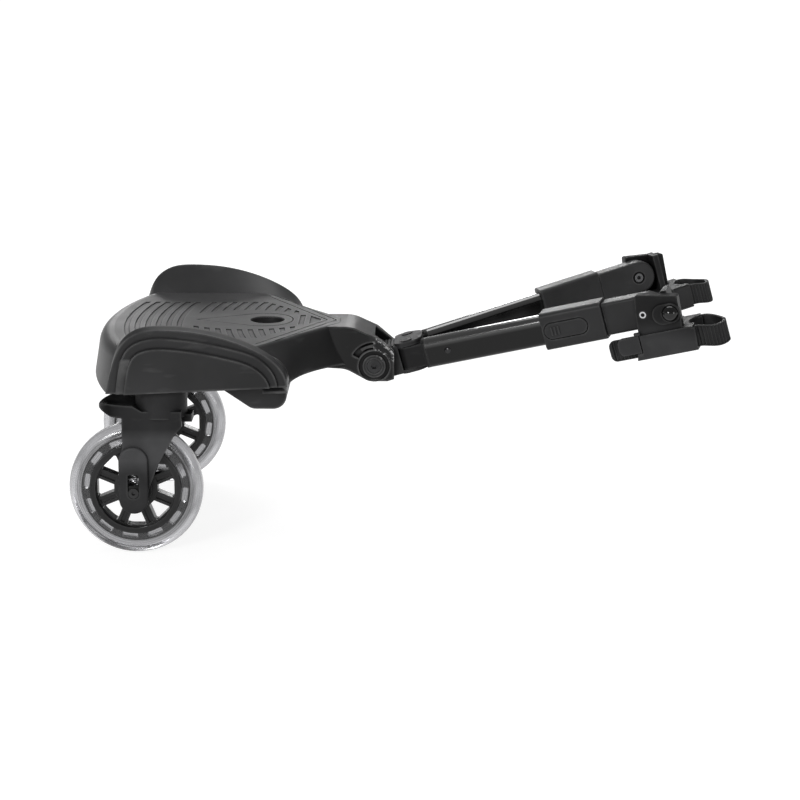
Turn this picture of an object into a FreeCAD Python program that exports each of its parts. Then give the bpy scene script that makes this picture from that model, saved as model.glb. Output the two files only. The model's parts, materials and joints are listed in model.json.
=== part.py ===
import FreeCAD, Part
import math
import os
import Sketcher

# A ride-on board that is towed behind a pushchair: a moulded deck on two sprung swivel
# casters, a tilting knuckle, two splayed telescopic arms and two strap-on connectors.
# Frame: +X forward to the pushchair, +Y left, +Z up, origin on the floor under the middle.

sizes_table = (
    # fits and cuts
    ("cut_overrun", 2, "how far a cutting tool passes its wall"),
    ("running_gap", 0.06, "radial clearance of a pin that turns in its hole"),
    ("side_gap", 0.3, "clearance between faces of bodies that move"),
    # casters
    ("axle_back", 235.1, "from the origin back to the wheel axles"),
    ("caster_inset", 35, "from the side panel in to the wheel plane"),
    ("trail", 24, "from the axle forward to the swivel axis"),
    ("wheel_radius", 60, "tyre outer radius"),
    ("tyre_width", 24, "tyre width"),
    ("tyre_round", 9, "rounding of the tread shoulders"),
    ("tyre_lip", 3, "inner edge of the tyre, set in from its side"),
    ("rim_inner", 36, "inside of the rim ring"),
    ("rim_outer", 41, "outside of the rim ring, where the tyre starts"),
    ("rim_width", 20, "rim ring width"),
    ("flange_radius", 49, "slotted flange inside the tyre"),
    ("flange_thick", 8, "flange thickness"),
    ("slot_ring", 44.5, "radius of the middle of the flange slots"),
    ("slot_length", 14, "flange slot length"),
    ("slot_width", 5, "flange slot width"),
    ("web_thick", 11, "spoke depth along the axle"),
    ("spoke_width", 9, "spoke width"),
    ("spoke_groove", 4, "width of the channel along a spoke"),
    ("groove_depth", 2, "depth of that channel"),
    ("window_round", 1.6, "corner radius of the windows between spokes"),
    ("hub_radius", 15, "hub outer radius"),
    ("hub_width", 23, "hub length along the axle"),
    ("hub_bore", 9.5, "hub bore between the bearings"),
    ("bearing_outer", 11, "bearing outer radius"),
    ("bearing_bore", 4, "bearing bore radius"),
    ("bearing_width", 7, "bearing width"),
    # sprung forks
    ("leg_gap", 15, "from the wheel plane to the inside of a fork leg"),
    ("leg_thick", 6, "fork leg thickness"),
    ("leg_half", 12.5, "half width of the leg at the axle"),
    ("leg_foot", 19, "leg end below the axle"),
    ("leg_back", 9.5, "rear edge of the leg behind the axle, at the crown"),
    ("leg_bend_ahead", 21.2, "front edge of the leg ahead of the axle, at its bend"),
    ("leg_bend_high", 84, "that bend above the floor"),
    ("leg_top_ahead", 12.5, "front edge of the leg ahead of the swivel axis, at the top"),
    ("leg_top_high", 112, "that point above the floor"),
    ("boss_proud", 3.5, "height of the spring boss over the leg"),
    ("boss_half", 13, "half width of the spring boss"),
    ("boss_high", 102, "top of the spring boss above the floor"),
    ("boss_soft", 2, "rounding of the boss rim"),
    ("channel_width", 10, "spring channel width"),
    ("channel_depth", 7.3, "spring channel depth into the leg"),
    ("channel_high", 101, "top of the spring channel above the floor"),
    ("window_high", 77, "top of the axle window above the floor"),
    ("slider_height", 12, "axle slider height"),
    ("slider_gap", 0.2, "slider clearance in its channel"),
    ("spring_radius", 2.8, "mean radius of a suspension spring"),
    ("spring_wire", 0.6, "wire radius of a suspension spring"),
    ("axle_head_radius", 4.7, "axle screw head radius"),
    ("axle_head_thick", 2.4, "axle screw head thickness"),
    ("axle_hex", 1.9, "socket radius of the axle screw"),
    ("crown_low", 127, "underside of the fork crown above the floor"),
    ("crown_thick", 7, "fork crown thickness"),
    ("crown_front", 19.5, "fork crown ahead of the swivel axis"),
    ("head_radius", 23, "fork head radius"),
    ("head_high", 158, "top of the fork head above the floor"),
    ("fender_back", 31.5, "mudguard tip behind the axle"),
    ("fender_front", 7, "mudguard root behind the swivel axis"),
    ("fender_round", 19, "corner radius of the mudguard, seen from above"),
    ("fender_curl", 12.5, "length of its turned-up edge"),
    ("fender_edge", 6, "thickness of that edge"),
    ("fender_rise", 2, "its underside above that of the crown"),
    ("fender_high", 141, "mudguard top above the floor"),
    ("fender_dish", 4, "hollow of the mudguard top"),
    ("tab_front", 51.5, "front tab ahead of the axle"),
    ("tab_low", 122.2, "front tab underside above the floor"),
    ("tab_half", 9, "front tab half width"),
    ("stem_radius", 5, "swivel stem radius"),
    ("stem_low", 132, "foot of the stem above the floor"),
    ("stem_high", 181, "top of the stem above the floor"),
    ("stem_groove", 0.75, "depth of the clip groove in the stem"),
    ("bush_wall", 3, "swivel bush wall"),
    ("bush_flange", 12, "swivel bush flange radius"),
    ("flange_height", 1.8, "swivel bush flange thickness"),
    ("socket_wall", 5, "wall of the deck socket round the bush"),
    # deck moulding, lengths from the axle line
    ("deck_high", 188, "deck surface above the floor"),
    ("deck_wall", 4, "moulding thickness"),
    ("deck_soft", 4, "rounding of the front border"),
    ("rear_soft", 14, "rounding of the rear edge"),
    ("skirt_low", 152, "bottom edge of the skirt above the floor"),
    ("deck_back", 41, "deck edge behind the axle, at the middle"),
    ("deck_corner_back", 13, "deck edge behind the axle, at the corners"),
    ("deck_half_rear", 119, "deck half width at the rear corners"),
    ("deck_half", 125, "deck half width at its widest"),
    ("deck_half_front", 117, "deck half width where the border turns in"),
    ("deck_side_front", 104, "where the deck border turns in"),
    ("deck_tip", 178, "tip of the deck border"),
    ("deck_tip_half", 14, "half width of the tip"),
    ("skirt_back", 46, "skirt edge behind the axle, at the middle"),
    ("skirt_corner_back", 22, "skirt edge behind the axle, at the corners"),
    ("skirt_half_rear", 142, "skirt half width at the rear corners"),
    ("skirt_half", 145, "skirt half width at its widest"),
    ("skirt_half_front", 139, "skirt half width at the front corners"),
    ("skirt_front", 138, "front corners of the skirt"),
    ("corner_wall", 12, "wall of the hollow at the front corners"),
    ("front_wall", 8, "wall of the hollow at the front"),
    ("shoulder_x", 149, "inside of the shoulder curve, ahead of the axle"),
    ("shoulder_half", 66, "inside of the shoulder curve, half width"),
    ("neck_x", 184, "where the shoulders end in the neck"),
    ("neck_half", 28, "half width of the neck and its ears"),
    # side wings
    ("wing_back", 22, "wing rear edge behind the axle"),
    ("wing_front", 138, "wing front edge ahead of the axle"),
    ("wing_high", 212.5, "wing ridge above the floor"),
    ("wing_base_half", 120, "half width at the foot of the wing's inner face"),
    ("panel_half", 151.5, "half width of the side panel"),
    ("ridge_inset", 11.5, "ridge inside the side panel"),
    ("band_inset", 5.5, "foot of the ridge band inside the side panel"),
    ("step_inset", 2.9, "middle band inside the side panel"),
    ("ridge_bevel", 3.2, "fall of the ridge band"),
    ("step_bevel", 1.6, "bevel between two bands"),
    # tread of the deck, lengths from the axle line
    ("tread_depth", 0.8, "depth of the tread"),
    ("tread_width", 5, "width of a tread band"),
    ("tread_bow", 333, "radius of the tread bands"),
    ("tread_back", 20, "first band behind the axle"),
    ("tread_pitch", 9.6, "spacing of the bands at the rear"),
    ("tread_half", 78, "half width of the tread"),
    ("side_tread_back", 43.5, "first band beside the drop"),
    ("side_tread_pitch", 9.8, "spacing of the bands beside the drop"),
    ("side_tread_turn", 106, "where the tread starts to narrow"),
    ("side_tread_front", 138, "front of the tread beside the drop"),
    ("side_tread_half", 37, "half width of the tread there"),
    ("lens_ahead", 92, "middle of the bare field round the drop"),
    ("lens_half", 42.5, "half width of that field"),
    ("lens_bow", 82, "radius of its sides"),
    ("drop_tip", 44, "tip of the drop-shaped groove"),
    ("drop_ahead", 107, "middle of the round end of the drop"),
    ("drop_radius", 28, "radius of that end"),
    ("drop_width", 1.4, "width of the groove"),
    ("bar_back", 140.2, "rear of the short bar ahead of the tread"),
    ("bar_half", 21, "half length of that bar"),
    ("shield_back", 150, "rear of the shield ahead of the bar"),
    ("shield_front", 160, "front of the shield"),
    ("shield_half", 17, "half width of the shield at its rear"),
    ("shield_tip_half", 4, "half width of the shield at its front"),
    ("border_back", 115.4, "rear ends of the border grooves"),
    ("border_half", 104, "half width of the border grooves"),
    ("border_tip", 175.2, "tip of the front border groove"),
    ("border_pitch", 8.3, "spacing of the border grooves"),
    ("border_width", 1.4, "width of a border groove along X"),
    # deck underside
    ("belly_back", 64, "rear of the front cross beam, ahead of the axle"),
    ("belly_front", 135, "front of the front cross beam"),
    ("belly_flat", 31, "length of the flat bottom of the cross beam"),
    ("belly_root", 6, "top of the cross beam over the skirt edge"),
    ("belly_slope", 10, "length of its slanted rear wall along X"),
    ("belly_low", 131, "bottom of the cross beam above the floor"),
    ("belly_half", 112, "half length of the cross beam"),
    ("belly_round", 12, "corner radius of the cross beam"),
    ("rib_thick", 3, "underside rib thickness"),
    ("rib_low", 167, "underside rib edge above the floor"),
    ("rib_back", 30, "rear end of the middle rib behind the axle"),
    ("rib_taper", 3.5, "how much shorter the next rib is"),
    ("rib_step", 42, "spacing of the underside ribs"),
    ("seat_ahead", 110.7, "seat socket ahead of the axle"),
    ("seat_radius", 16, "seat socket bore radius"),
    ("seat_wall", 4, "seat socket wall"),
    # tilt hinge
    ("hinge_ahead", 210.2, "tilt axis ahead of the axle"),
    ("hinge_high", 150.5, "tilt axis above the floor"),
    ("neck_bend_back", 26, "bend of the neck underside behind the tilt axis"),
    ("neck_bend_high", 148, "that bend above the floor"),
    ("neck_bend", 22.5, "radius of that bend"),
    ("ear_front", 18.3, "ear edge ahead of the tilt axis"),
    ("ear_low", 14, "ear edge below the tilt axis"),
    ("ear_high", 13, "front corner of the ear above the tilt axis"),
    ("ear_back", 5, "lower corner of the ear behind the tilt axis"),
    ("ear_round", 10, "radius of that corner"),
    ("ear_soft", 6, "radius and chamfer of the front corners"),
    ("cover_front", 2, "bend of the neck cover ahead of the tilt axis"),
    ("cover_high", 27, "that bend above the tilt axis"),
    ("cover_round", 14, "radius of that bend"),
    ("cover_back", 20.5, "where the neck cover starts to fall, behind the tilt axis"),
    ("cover_bend", 28, "radius of the fall"),
    ("ear_gap", 19.3, "half width of the slot between the ears"),
    ("cover_inner", 21.5, "radius cleared under the neck cover"),
    ("bolt_radius", 5, "hinge bolt radius"),
    ("bolt_head", 6.6, "hinge bolt head radius"),
    ("bolt_head_thick", 3.6, "hinge bolt head thickness"),
    ("bolt_hex", 2.9, "hinge bolt socket radius"),
    ("bolt_sink", 4.2, "depth of the head recess in the ear"),
    ("nut_sink", 0.6, "nut below the face of the ear"),
    ("ring_outer", 10.6, "ring boss round the bolt head"),
    ("dish_radius", 14.3, "dished recess round the ring boss"),
    ("dish_depth", 2.4, "depth of that recess"),
    ("lug_width", 3, "width of the lugs in that recess"),
    ("pocket_inner", 15.6, "arc pocket inner radius"),
    ("pocket_outer", 22.5, "arc pocket outer radius"),
    ("pocket_depth", 4.5, "arc pocket depth"),
    ("pocket_rib", 2.4, "width of the rib in the arc pocket"),
    # knuckle, lengths from the tilt axis
    ("barrel_radius", 16.5, "knuckle barrel radius"),
    ("knuckle_side_gap", 0.4, "between the knuckle and each ear"),
    ("web_front", 24.5, "front of the knuckle web"),
    ("web_high", 11, "top of the knuckle web"),
    ("web_low", 15.5, "bottom of the knuckle web"),
    ("plate_front", 48.5, "front of the arm plates"),
    ("plate_half", 21, "half width of the arm plates"),
    ("plate_round", 13, "front corner radius of the arm plates"),
    ("plate_back_round", 7, "rear corner radius of the arm plates"),
    ("top_plate", 4.5, "top plate thickness"),
    ("low_plate", 3.2, "bottom plate thickness"),
    ("rib_high", 1, "height of the grip ribs on the knuckle"),
    ("rib_pitch", 3.2, "spacing of those ribs"),
    # arms, lengths from the arm pin
    ("tilt_angle", 15.2, "rise of the arms, degrees"),
    ("splay_angle", 15.5, "splay of each arm, degrees"),
    ("pin_ahead", 34, "arm pin ahead of the tilt axis"),
    ("pin_half", 14, "arm pin from the middle"),
    ("arm_drop", 2, "arm centre line below the tilt axis"),
    ("pin_radius", 3.5, "arm pin radius"),
    ("pin_head", 5.2, "arm pin head radius"),
    ("pin_head_thick", 0.8, "arm pin head thickness"),
    ("root_height", 20.8, "arm root height between the plates"),
    ("root_half", 9, "arm root half width"),
    ("tube_start", 18, "rear end of the arm tube"),
    ("tube_end", 186, "front end of the arm tube"),
    ("tube_height", 28, "arm tube height"),
    ("tube_width", 15, "arm tube width"),
    ("tube_wall", 1.6, "arm tube wall"),
    ("tube_round", 6.5, "arm tube corner radius"),
    ("plug_length", 32, "root plug inside the tube"),
    ("rivet_at", 39, "rivet from the arm pin"),
    ("rivet_radius", 2, "rivet shank radius"),
    ("rivet_head", 3.2, "rivet head radius"),
    ("rivet_dome", 1.1, "rivet head height"),
    ("sleeve_start", 132, "rear end of the end sleeve"),
    ("sleeve_end", 190, "front end of the end sleeve"),
    ("sleeve_height", 34.5, "end sleeve height"),
    ("sleeve_wall", 3, "end sleeve side wall"),
    ("sleeve_extra", 2.4, "extra wall on the button side"),
    ("sleeve_round", 4, "end sleeve corner radius"),
    ("button_at", 154.5, "sleeve button from the arm pin"),
    ("button_length", 42, "sleeve button recess length"),
    ("button_height", 16, "sleeve button recess height"),
    ("button_gap", 0.6, "sleeve button clearance in its recess"),
    ("button_thick", 2.6, "sleeve button thickness"),
    ("button_proud", 0.5, "sleeve button over the sleeve"),
    ("button_rib", 0.7, "height of the ribs on the button"),
    ("button_rib_back", 14, "first of those ribs behind the middle"),
    ("button_rib_half", 4, "half length of those ribs"),
    ("leaf_radius", 4, "radius of the button's return spring"),
    ("leaf_wall", 1, "wall of that spring"),
    # extension, lengths from the arm pin
    ("bar_start", 66, "inner end of the sliding bar"),
    ("bar_gap", 0.35, "sliding clearance inside the tube"),
    ("joint_at", 228, "joint bolt from the arm pin"),
    ("housing_height", 30, "end housing height"),
    ("housing_width", 18.6, "end housing width"),
    ("housing_soft", 2.4, "end housing edge rounding"),
    ("disc_radius", 16, "round end about the joint bolt"),
    ("joint_radius", 3, "joint bolt radius"),
    ("joint_head", 4.1, "joint bolt head radius"),
    ("joint_recess", 5.8, "recess round that head"),
    ("recess_depth", 2.2, "depth of that recess"),
    ("joint_hex", 1.8, "joint bolt socket radius"),
    ("detent_ring", 11.7, "radius of the detent holes"),
    ("detent_size", 2.6, "detent hole side"),
    ("detent_depth", 3, "detent hole depth"),
    # connector, lengths from the joint bolt
    ("cheek_gap", 0.4, "between the end housing and the connector cheek"),
    ("cheek_thick", 9.2, "connector cheek thickness"),
    ("cheek_high", 19, "cheek top at the rear"),
    ("cheek_back", 6.2, "rear edge of the cheek"),
    ("cheek_bend", 3.3, "bend of that edge above the bolt"),
    ("cheek_top_back", 3.3, "rear edge of the cheek at its top"),
    ("disc_gap", 0.9, "clearance round the end of the arm"),
    ("cheek_front_high", 11.5, "cheek top at the front"),
    ("cheek_front", 34, "cheek front edge"),
    ("jaw_high", 17.8, "top of the strap block below the bolt"),
    ("jaw_low", 40, "bottom of the strap block below the bolt"),
    ("jaw_front", 44, "front of the strap block"),
    ("jaw_back", 14, "rear of the strap block, at the bottom"),
    ("jaw_wall", 2.7, "wall of the strap block outside the strap"),
    ("fin_back", 18, "inside of the front fin"),
    ("fin_thick", 5.5, "front fin thickness"),
    ("fin_high", 16, "top of the front fin"),
    ("saddle_radius", 14, "radius of the tube seat"),
    ("saddle_at", 48.5, "tube centre ahead of the bolt"),
    ("saddle_in", 2.5, "tube centre inside the arm's centre line"),
    ("strap_width", 19.5, "strap width"),
    ("strap_thick", 3, "strap thickness"),
    ("strap_slack", 2.5, "strap clearance round the tube"),
    ("strap_tail", 38, "strap tail behind the bolt"),
    ("strap_gap", 0.25, "strap clearance in its slots"),
    ("anchor_at", 20, "strap anchor ahead of the bolt"),
    ("lever_back", 28.5, "rear end of the strap lever"),
    ("lever_front", 8.2, "front end of the strap lever"),
    ("lever_high", 17.6, "lever top below the bolt"),
    ("lever_low", 33.6, "lever bottom below the bolt"),
    ("lever_thick", 3.6, "lever thickness"),
    ("lever_round", 5, "lever corner radius"),
    ("lever_pin_at", 9.6, "lever pivot behind the bolt"),
    ("lever_pin", 1.2, "lever pivot radius"),
    ("lever_ear", 2.4, "thickness of the lever's ears"),
    ("lever_seat", 0.6, "between the lever and the strap"),
    ("lever_room", 0.9, "between the lever and the strap block"),
    ("dome_at", 25, "lock button ahead of the bolt"),
    ("dome_drop", 2.7, "lock button below the bolt"),
    ("dome_radius", 7.2, "lock button radius"),
    ("dome_skirt", 3.4, "straight side of the lock button"),
    ("dome_high", 5, "dome height over that side"),
    ("dome_stem", 4.2, "lock button stem radius"),
    ("dome_travel", 4, "lock button travel"),
    ("collar_radius", 9.2, "collar radius round the lock button"),
    ("collar_high", 2.4, "collar height over the cheek"),
    ("collar_reach", 7, "length of the collar behind the button"),
)

round_share = 0.97
bend_share = 0.98
blunt_share = 0.9
foot_share = 0.5
drop_slope_share = 0.496
drop_tip_share = 2.25
spoke_count = 8
slot_count = 12
slot_turn_angle = 22
tread_count = 6
side_tread_count = 10
rib_places = (-2, -1, 0, 1, 2)
detent_count = 5
detent_start_angle = -27.75
detent_step_angle = 18.5
lug_count = 6
pocket_start_angle = 92
pocket_span_angle = 60
pocket_rib_span_angle = 36
spring_turn_count = 6
arcs_per_turn_count = 2
grip_rib_count = 5
button_rib_count = 3

doc = FreeCAD.newDocument("buggy_board")
sheet = doc.addObject("Spreadsheet::Sheet", "sizes")
for row, (alias, value, note) in enumerate(sizes_table, start=1):
    sheet.set(f"A{row}", alias)
    sheet.set(f"B{row}", str(value))
    sheet.set(f"C{row}", note)
    sheet.setAlias(f"B{row}", alias)
doc.recompute()

nodes = []


class Size:
    """A length that keeps its value and the sheet expression that gives it."""

    def __init__(self, value, text):
        self.value = float(value)
        self.text = text

    def __float__(self):
        return self.value

    def __add__(self, other):
        other = as_size(other)
        return Size(self.value + other.value, f"({self.text} + {other.text})")

    def __sub__(self, other):
        other = as_size(other)
        return Size(self.value - other.value, f"({self.text} - {other.text})")

    def __mul__(self, other):
        other = as_size(other)
        return Size(self.value * other.value, f"({self.text} * {other.text})")

    def __truediv__(self, other):
        other = as_size(other)
        return Size(self.value / other.value, f"({self.text} / {other.text})")

    def __neg__(self):
        return Size(-self.value, f"(0 - {self.text})")

    __radd__ = __add__
    __rmul__ = __mul__


class SizeSheet:
    """Hands out the sheet's cells by alias."""

    def __getattr__(self, alias):
        return Size(sheet.get(alias), "sizes." + alias)


def as_size(number):
    if isinstance(number, Size):
        return number
    return Size(number, repr(float(number)))


S = SizeSheet()
zero = Size(0, "0")


def vec(x, y, z):
    return FreeCAD.Vector(float(x), float(y), float(z))


def bind(item, prop, size):
    """Set a property and tie it to the sheet."""
    size = as_size(size)
    if "." not in prop:
        setattr(item, prop, size.value)
    item.setExpression(prop, size.text)


def move(item, x, y, z):
    """Tie an object's place to the sheet."""
    item.Placement.Base = vec(x, y, z)
    for axis, size in zip("xyz", (x, y, z)):
        bind(item, "Placement.Base." + axis, size)


def node(item, name):
    """Name a finished sub-part."""
    item.Label = name
    nodes.append(item)
    return item


def box(name, x0, x1, y0, y1, z0, z1):
    item = doc.addObject("Part::Box", name)
    bind(item, "Length", x1 - x0)
    bind(item, "Width", y1 - y0)
    bind(item, "Height", z1 - z0)
    move(item, x0, y0, z0)
    return item


axis_turns = {
    "X": FreeCAD.Rotation(FreeCAD.Vector(0, 1, 0), 90),
    "Y": FreeCAD.Rotation(FreeCAD.Vector(1, 0, 0), -90),
    "Z": FreeCAD.Rotation(),
}


def along(axis, start, u, v):
    """The point at start on an axis whose other two coordinates are u and v."""
    return {"X": (start, u, v), "Y": (u, start, v), "Z": (u, v, start)}[axis]


def rod(name, axis, radius, start, end, u=zero, v=zero):
    """A cylinder along X, Y or Z from start to end."""
    item = doc.addObject("Part::Cylinder", name)
    bind(item, "Radius", radius)
    bind(item, "Height", end - start)
    item.Placement.Rotation = axis_turns[axis]
    move(item, *along(axis, start, u, v))
    return item


def hexagon(name, axis, radius, start, end, u=zero, v=zero):
    """A six-sided prism along X, Y or Z from start to end."""
    item = doc.addObject("Part::Prism", name)
    item.Polygon = 6
    bind(item, "Circumradius", radius)
    bind(item, "Height", end - start)
    item.Placement.Rotation = axis_turns[axis]
    move(item, *along(axis, start, u, v))
    return item


def fuse(name, items):
    item = doc.addObject("Part::MultiFuse", name)
    item.Shapes = items
    item.Refine = True
    return item


def cut(name, base, tools):
    item = doc.addObject("Part::Cut", name)
    item.Base = base
    item.Tool = tools[0] if len(tools) == 1 else fuse(name + "_tools", tools)
    item.Refine = True
    return item


def common(name, base, tool):
    item = doc.addObject("Part::Common", name)
    item.Base = base
    item.Tool = tool
    return item


def group(name, items):
    item = doc.addObject("Part::Compound", name)
    item.Links = items
    return item


def draw(sketch, corners):
    """Closed outline through corners (u, v) or (u, v, radius), every corner tied to the sheet."""
    spots = [(float(c[0]), float(c[1])) for c in corners]
    radii = [float(c[2]) if len(c) > 2 else 0.0 for c in corners]
    count = len(corners)
    ends = []
    for i, (x, y) in enumerate(spots):
        before = FreeCAD.Vector(spots[i - 1][0] - x, spots[i - 1][1] - y, 0).normalize()
        after_spot = spots[(i + 1) % count]
        after = FreeCAD.Vector(after_spot[0] - x, after_spot[1] - y, 0).normalize()
        half = before.getAngle(after) / 2
        reach = radii[i] / math.tan(half)
        here = FreeCAD.Vector(x, y, 0)
        toward = (before + after).normalize()
        centre = here + toward * (radii[i] / math.sin(half))
        ends.append((here + before * reach, here + after * reach, centre))
    lines = []
    for i in range(count):
        lines.append(Part.LineSegment(ends[i][1], ends[(i + 1) % count][0]))
    sketch.addGeometry(lines, False)
    rules = []
    tied = []
    for i in range(count):
        line_in = (i - 1) % count
        if radii[i] == 0:
            rules.append(Sketcher.Constraint("Coincident", line_in, 2, i, 1))
            tied += [(len(rules), corners[i][0]), (len(rules) + 1, corners[i][1])]
            rules.append(Sketcher.Constraint("DistanceX", i, 1, spots[i][0]))
            rules.append(Sketcher.Constraint("DistanceY", i, 1, spots[i][1]))
            continue
        enter, leave, centre = ends[i]
        first = math.atan2(enter.y - centre.y, enter.x - centre.x)
        last = math.atan2(leave.y - centre.y, leave.x - centre.x)
        turns_left = (last - first) % (2 * math.pi) < math.pi
        angles = (first, last) if turns_left else (last, first)
        circle = Part.Circle(centre, FreeCAD.Vector(0, 0, 1), radii[i])
        arc = sketch.addGeometry(Part.ArcOfCircle(circle, *angles), False)
        spot = sketch.addGeometry(Part.Point(FreeCAD.Vector(*spots[i], 0)), True)
        enter_end, leave_end = (1, 2) if turns_left else (2, 1)
        rules.append(Sketcher.Constraint("Tangent", line_in, 2, arc, enter_end))
        rules.append(Sketcher.Constraint("Tangent", arc, leave_end, i, 1))
        tied.append((len(rules), corners[i][2]))
        rules.append(Sketcher.Constraint("Radius", arc, radii[i]))
        rules.append(Sketcher.Constraint("PointOnObject", spot, 1, line_in))
        rules.append(Sketcher.Constraint("PointOnObject", spot, 1, i))
        tied += [(len(rules), corners[i][0]), (len(rules) + 1, corners[i][1])]
        rules.append(Sketcher.Constraint("DistanceX", spot, 1, spots[i][0]))
        rules.append(Sketcher.Constraint("DistanceY", spot, 1, spots[i][1]))
    sketch.addConstraint(rules)
    for index, size in tied:
        sketch.setExpression(f"Constraints[{index}]", as_size(size).text)


def sketch_on(body, plane, corners, offset):
    """A closed outline on one of the body's origin planes, moved along the plane's normal."""
    sketch = body.newObject("Sketcher::SketchObject", body.Name + "_outline")
    support = next(f for f in body.Origin.OriginFeatures if f.Role == plane + "_Plane")
    sketch.AttachmentSupport = [(support, "")]
    sketch.MapMode = "FlatFace"
    sketch.AttachmentOffset = FreeCAD.Placement(vec(0, 0, offset), FreeCAD.Rotation())
    sketch.setExpression("AttachmentOffset.Base.z", as_size(offset).text)
    draw(sketch, corners)
    return sketch


def new_body(name):
    return doc.addObject("PartDesign::Body", name)


def pad(name, plane, corners, low, high):
    """An outline on XY, XZ or YZ, made solid between low and high on the third axis."""
    body = new_body(name)
    offset = -high if plane == "XZ" else low
    feature = body.newObject("PartDesign::Pad", name + "_pad")
    feature.Profile = sketch_on(body, plane, corners, offset)
    bind(feature, "Length", high - low)
    return body


def soften(body, radius, wanted):
    """Round the edges of a body whose middle points are wanted."""
    doc.recompute()
    base = body.Tip
    names = []
    for index, edge in enumerate(base.Shape.Edges, start=1):
        if wanted(edge.CenterOfMass):
            names.append(f"Edge{index}")
    feature = body.newObject("PartDesign::Fillet", body.Name + "_soft")
    feature.Base = (base, names)
    bind(feature, "Radius", radius)
    return body


def revolve(name, corners):
    """An outline of radius and height, turned about the Y axis."""
    body = new_body(name)
    feature = body.newObject("PartDesign::Revolution", name + "_turned")
    sketch = sketch_on(body, "XY", corners, zero)
    feature.Profile = sketch
    feature.ReferenceAxis = (sketch, ["V_Axis"])
    feature.Angle = 360
    return body


def pocket_ring(body, corners, depth, count, offset=zero, turn_angle=0):
    """Pockets of one outline, cut both ways along Y and repeated round the Y axis."""
    pocket = body.newObject("PartDesign::Pocket", body.Name + "_pocket")
    sketch = sketch_on(body, "XZ", corners, offset)
    turn = FreeCAD.Rotation(FreeCAD.Vector(0, 0, 1), turn_angle)
    sketch.AttachmentOffset = FreeCAD.Placement(vec(0, 0, offset), turn)
    pocket.Profile = sketch
    pocket.SideType = "Symmetric"
    bind(pocket, "Length", depth)
    pattern = body.newObject("PartDesign::PolarPattern", body.Name + "_ring")
    pattern.Originals = [pocket]
    axis = next(f for f in body.Origin.OriginFeatures if f.Role == "Y_Axis")
    pattern.Axis = (axis, [""])
    pattern.Angle = 360
    pattern.Occurrences = count
    body.Tip = pattern
    return body


def ahead(distance):
    """A place given ahead of the wheel axle line."""
    return distance - S.axle_back


def oblong(u0, u1, v0, v1):
    """Corners of a slot with round ends, longer along u."""
    end = (v1 - v0) / 2 - S.running_gap
    return [(u0, v0, end), (u1, v0, end), (u1, v1, end), (u0, v1, end)]


def rounded_rectangle(u_half, v_low, v_high, radius):
    return [(-u_half, v_low, radius), (u_half, v_low, radius),
            (u_half, v_high, radius), (-u_half, v_high, radius)]


sides = (("left", 1), ("right", -1))
caster_half = S.panel_half - S.caster_inset


def between(side, inner, outer):
    """Lower and upper Y of a slab that lies from inner to outer on one side."""
    return (inner, outer) if side > 0 else (-outer, -inner)


# wheels

def wheel_core(name):
    hub_half = S.hub_width / 2
    web_half = S.web_thick / 2
    rim_half = S.rim_width / 2
    flange_half = S.flange_thick / 2
    seat = hub_half - S.bearing_width
    outline = [
        (S.bearing_outer, -hub_half), (S.hub_radius, -hub_half), (S.hub_radius, -web_half),
        (S.rim_inner, -web_half), (S.rim_inner, -rim_half), (S.rim_outer, -rim_half),
        (S.rim_outer, -flange_half), (S.flange_radius, -flange_half),
        (S.flange_radius, flange_half), (S.rim_outer, flange_half), (S.rim_outer, rim_half),
        (S.rim_inner, rim_half), (S.rim_inner, web_half), (S.hub_radius, web_half),
        (S.hub_radius, hub_half), (S.bearing_outer, hub_half), (S.bearing_outer, seat),
        (S.hub_bore, seat), (S.hub_bore, -seat), (S.bearing_outer, -seat),
    ]
    body = revolve(name, outline)
    # windows between the spokes, with sides parallel to the spokes
    lean = math.tan(math.pi / spoke_count)
    edge = S.spoke_width / (2 * math.cos(math.pi / spoke_count))
    near_at = S.hub_radius + S.spoke_width / 2
    far_at = S.rim_inner - S.window_round
    near_half = near_at * lean - edge
    far_half = far_at * lean - edge
    window = [(near_at, -near_half), (far_at, -far_half, S.window_round),
              (far_at, far_half, S.window_round), (near_at, near_half)]
    pocket_ring(body, window, S.rim_width, spoke_count)
    # channel along both faces of each spoke
    groove_half = S.spoke_groove / 2
    groove = [(near_at, -groove_half), (far_at, -groove_half), (far_at, groove_half), (near_at, groove_half)]
    for face in (web_half, -web_half):
        pocket_ring(body, groove, S.groove_depth * 2, spoke_count, face, 180 / spoke_count)
    # slots in the flange that the tyre flows through
    slot = [(S.slot_ring - S.slot_width / 2, -S.slot_length / 2, S.window_round),
            (S.slot_ring + S.slot_width / 2, -S.slot_length / 2, S.window_round),
            (S.slot_ring + S.slot_width / 2, S.slot_length / 2, S.window_round),
            (S.slot_ring - S.slot_width / 2, S.slot_length / 2, S.window_round)]
    pocket_ring(body, slot, S.rim_width, slot_count, zero, slot_turn_angle)
    return body


def tyre(name):
    """Clear tyre cast round the core, so it fills the slots of the flange."""
    half = S.tyre_width / 2
    ring = revolve(name + "_ring", [
        (S.rim_outer, -half + S.tyre_lip), (S.wheel_radius, -half, S.tyre_round),
        (S.wheel_radius, half, S.tyre_round), (S.rim_outer, half - S.tyre_lip)])
    return cut(name, ring, [wheel_core(name + "_core_space")])


def bearings(name):
    rings = []
    hub_half = S.hub_width / 2
    for end, sign in (("a", 1), ("b", -1)):
        low, high = between(sign, hub_half - S.bearing_width, hub_half)
        outer = rod(f"{name}_{end}_outer", "Y", S.bearing_outer, low, high)
        bore = rod(f"{name}_{end}_bore", "Y", S.bearing_bore, low, high)
        rings.append(cut(f"{name}_{end}", outer, [bore]))
    return group(name, rings)


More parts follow.
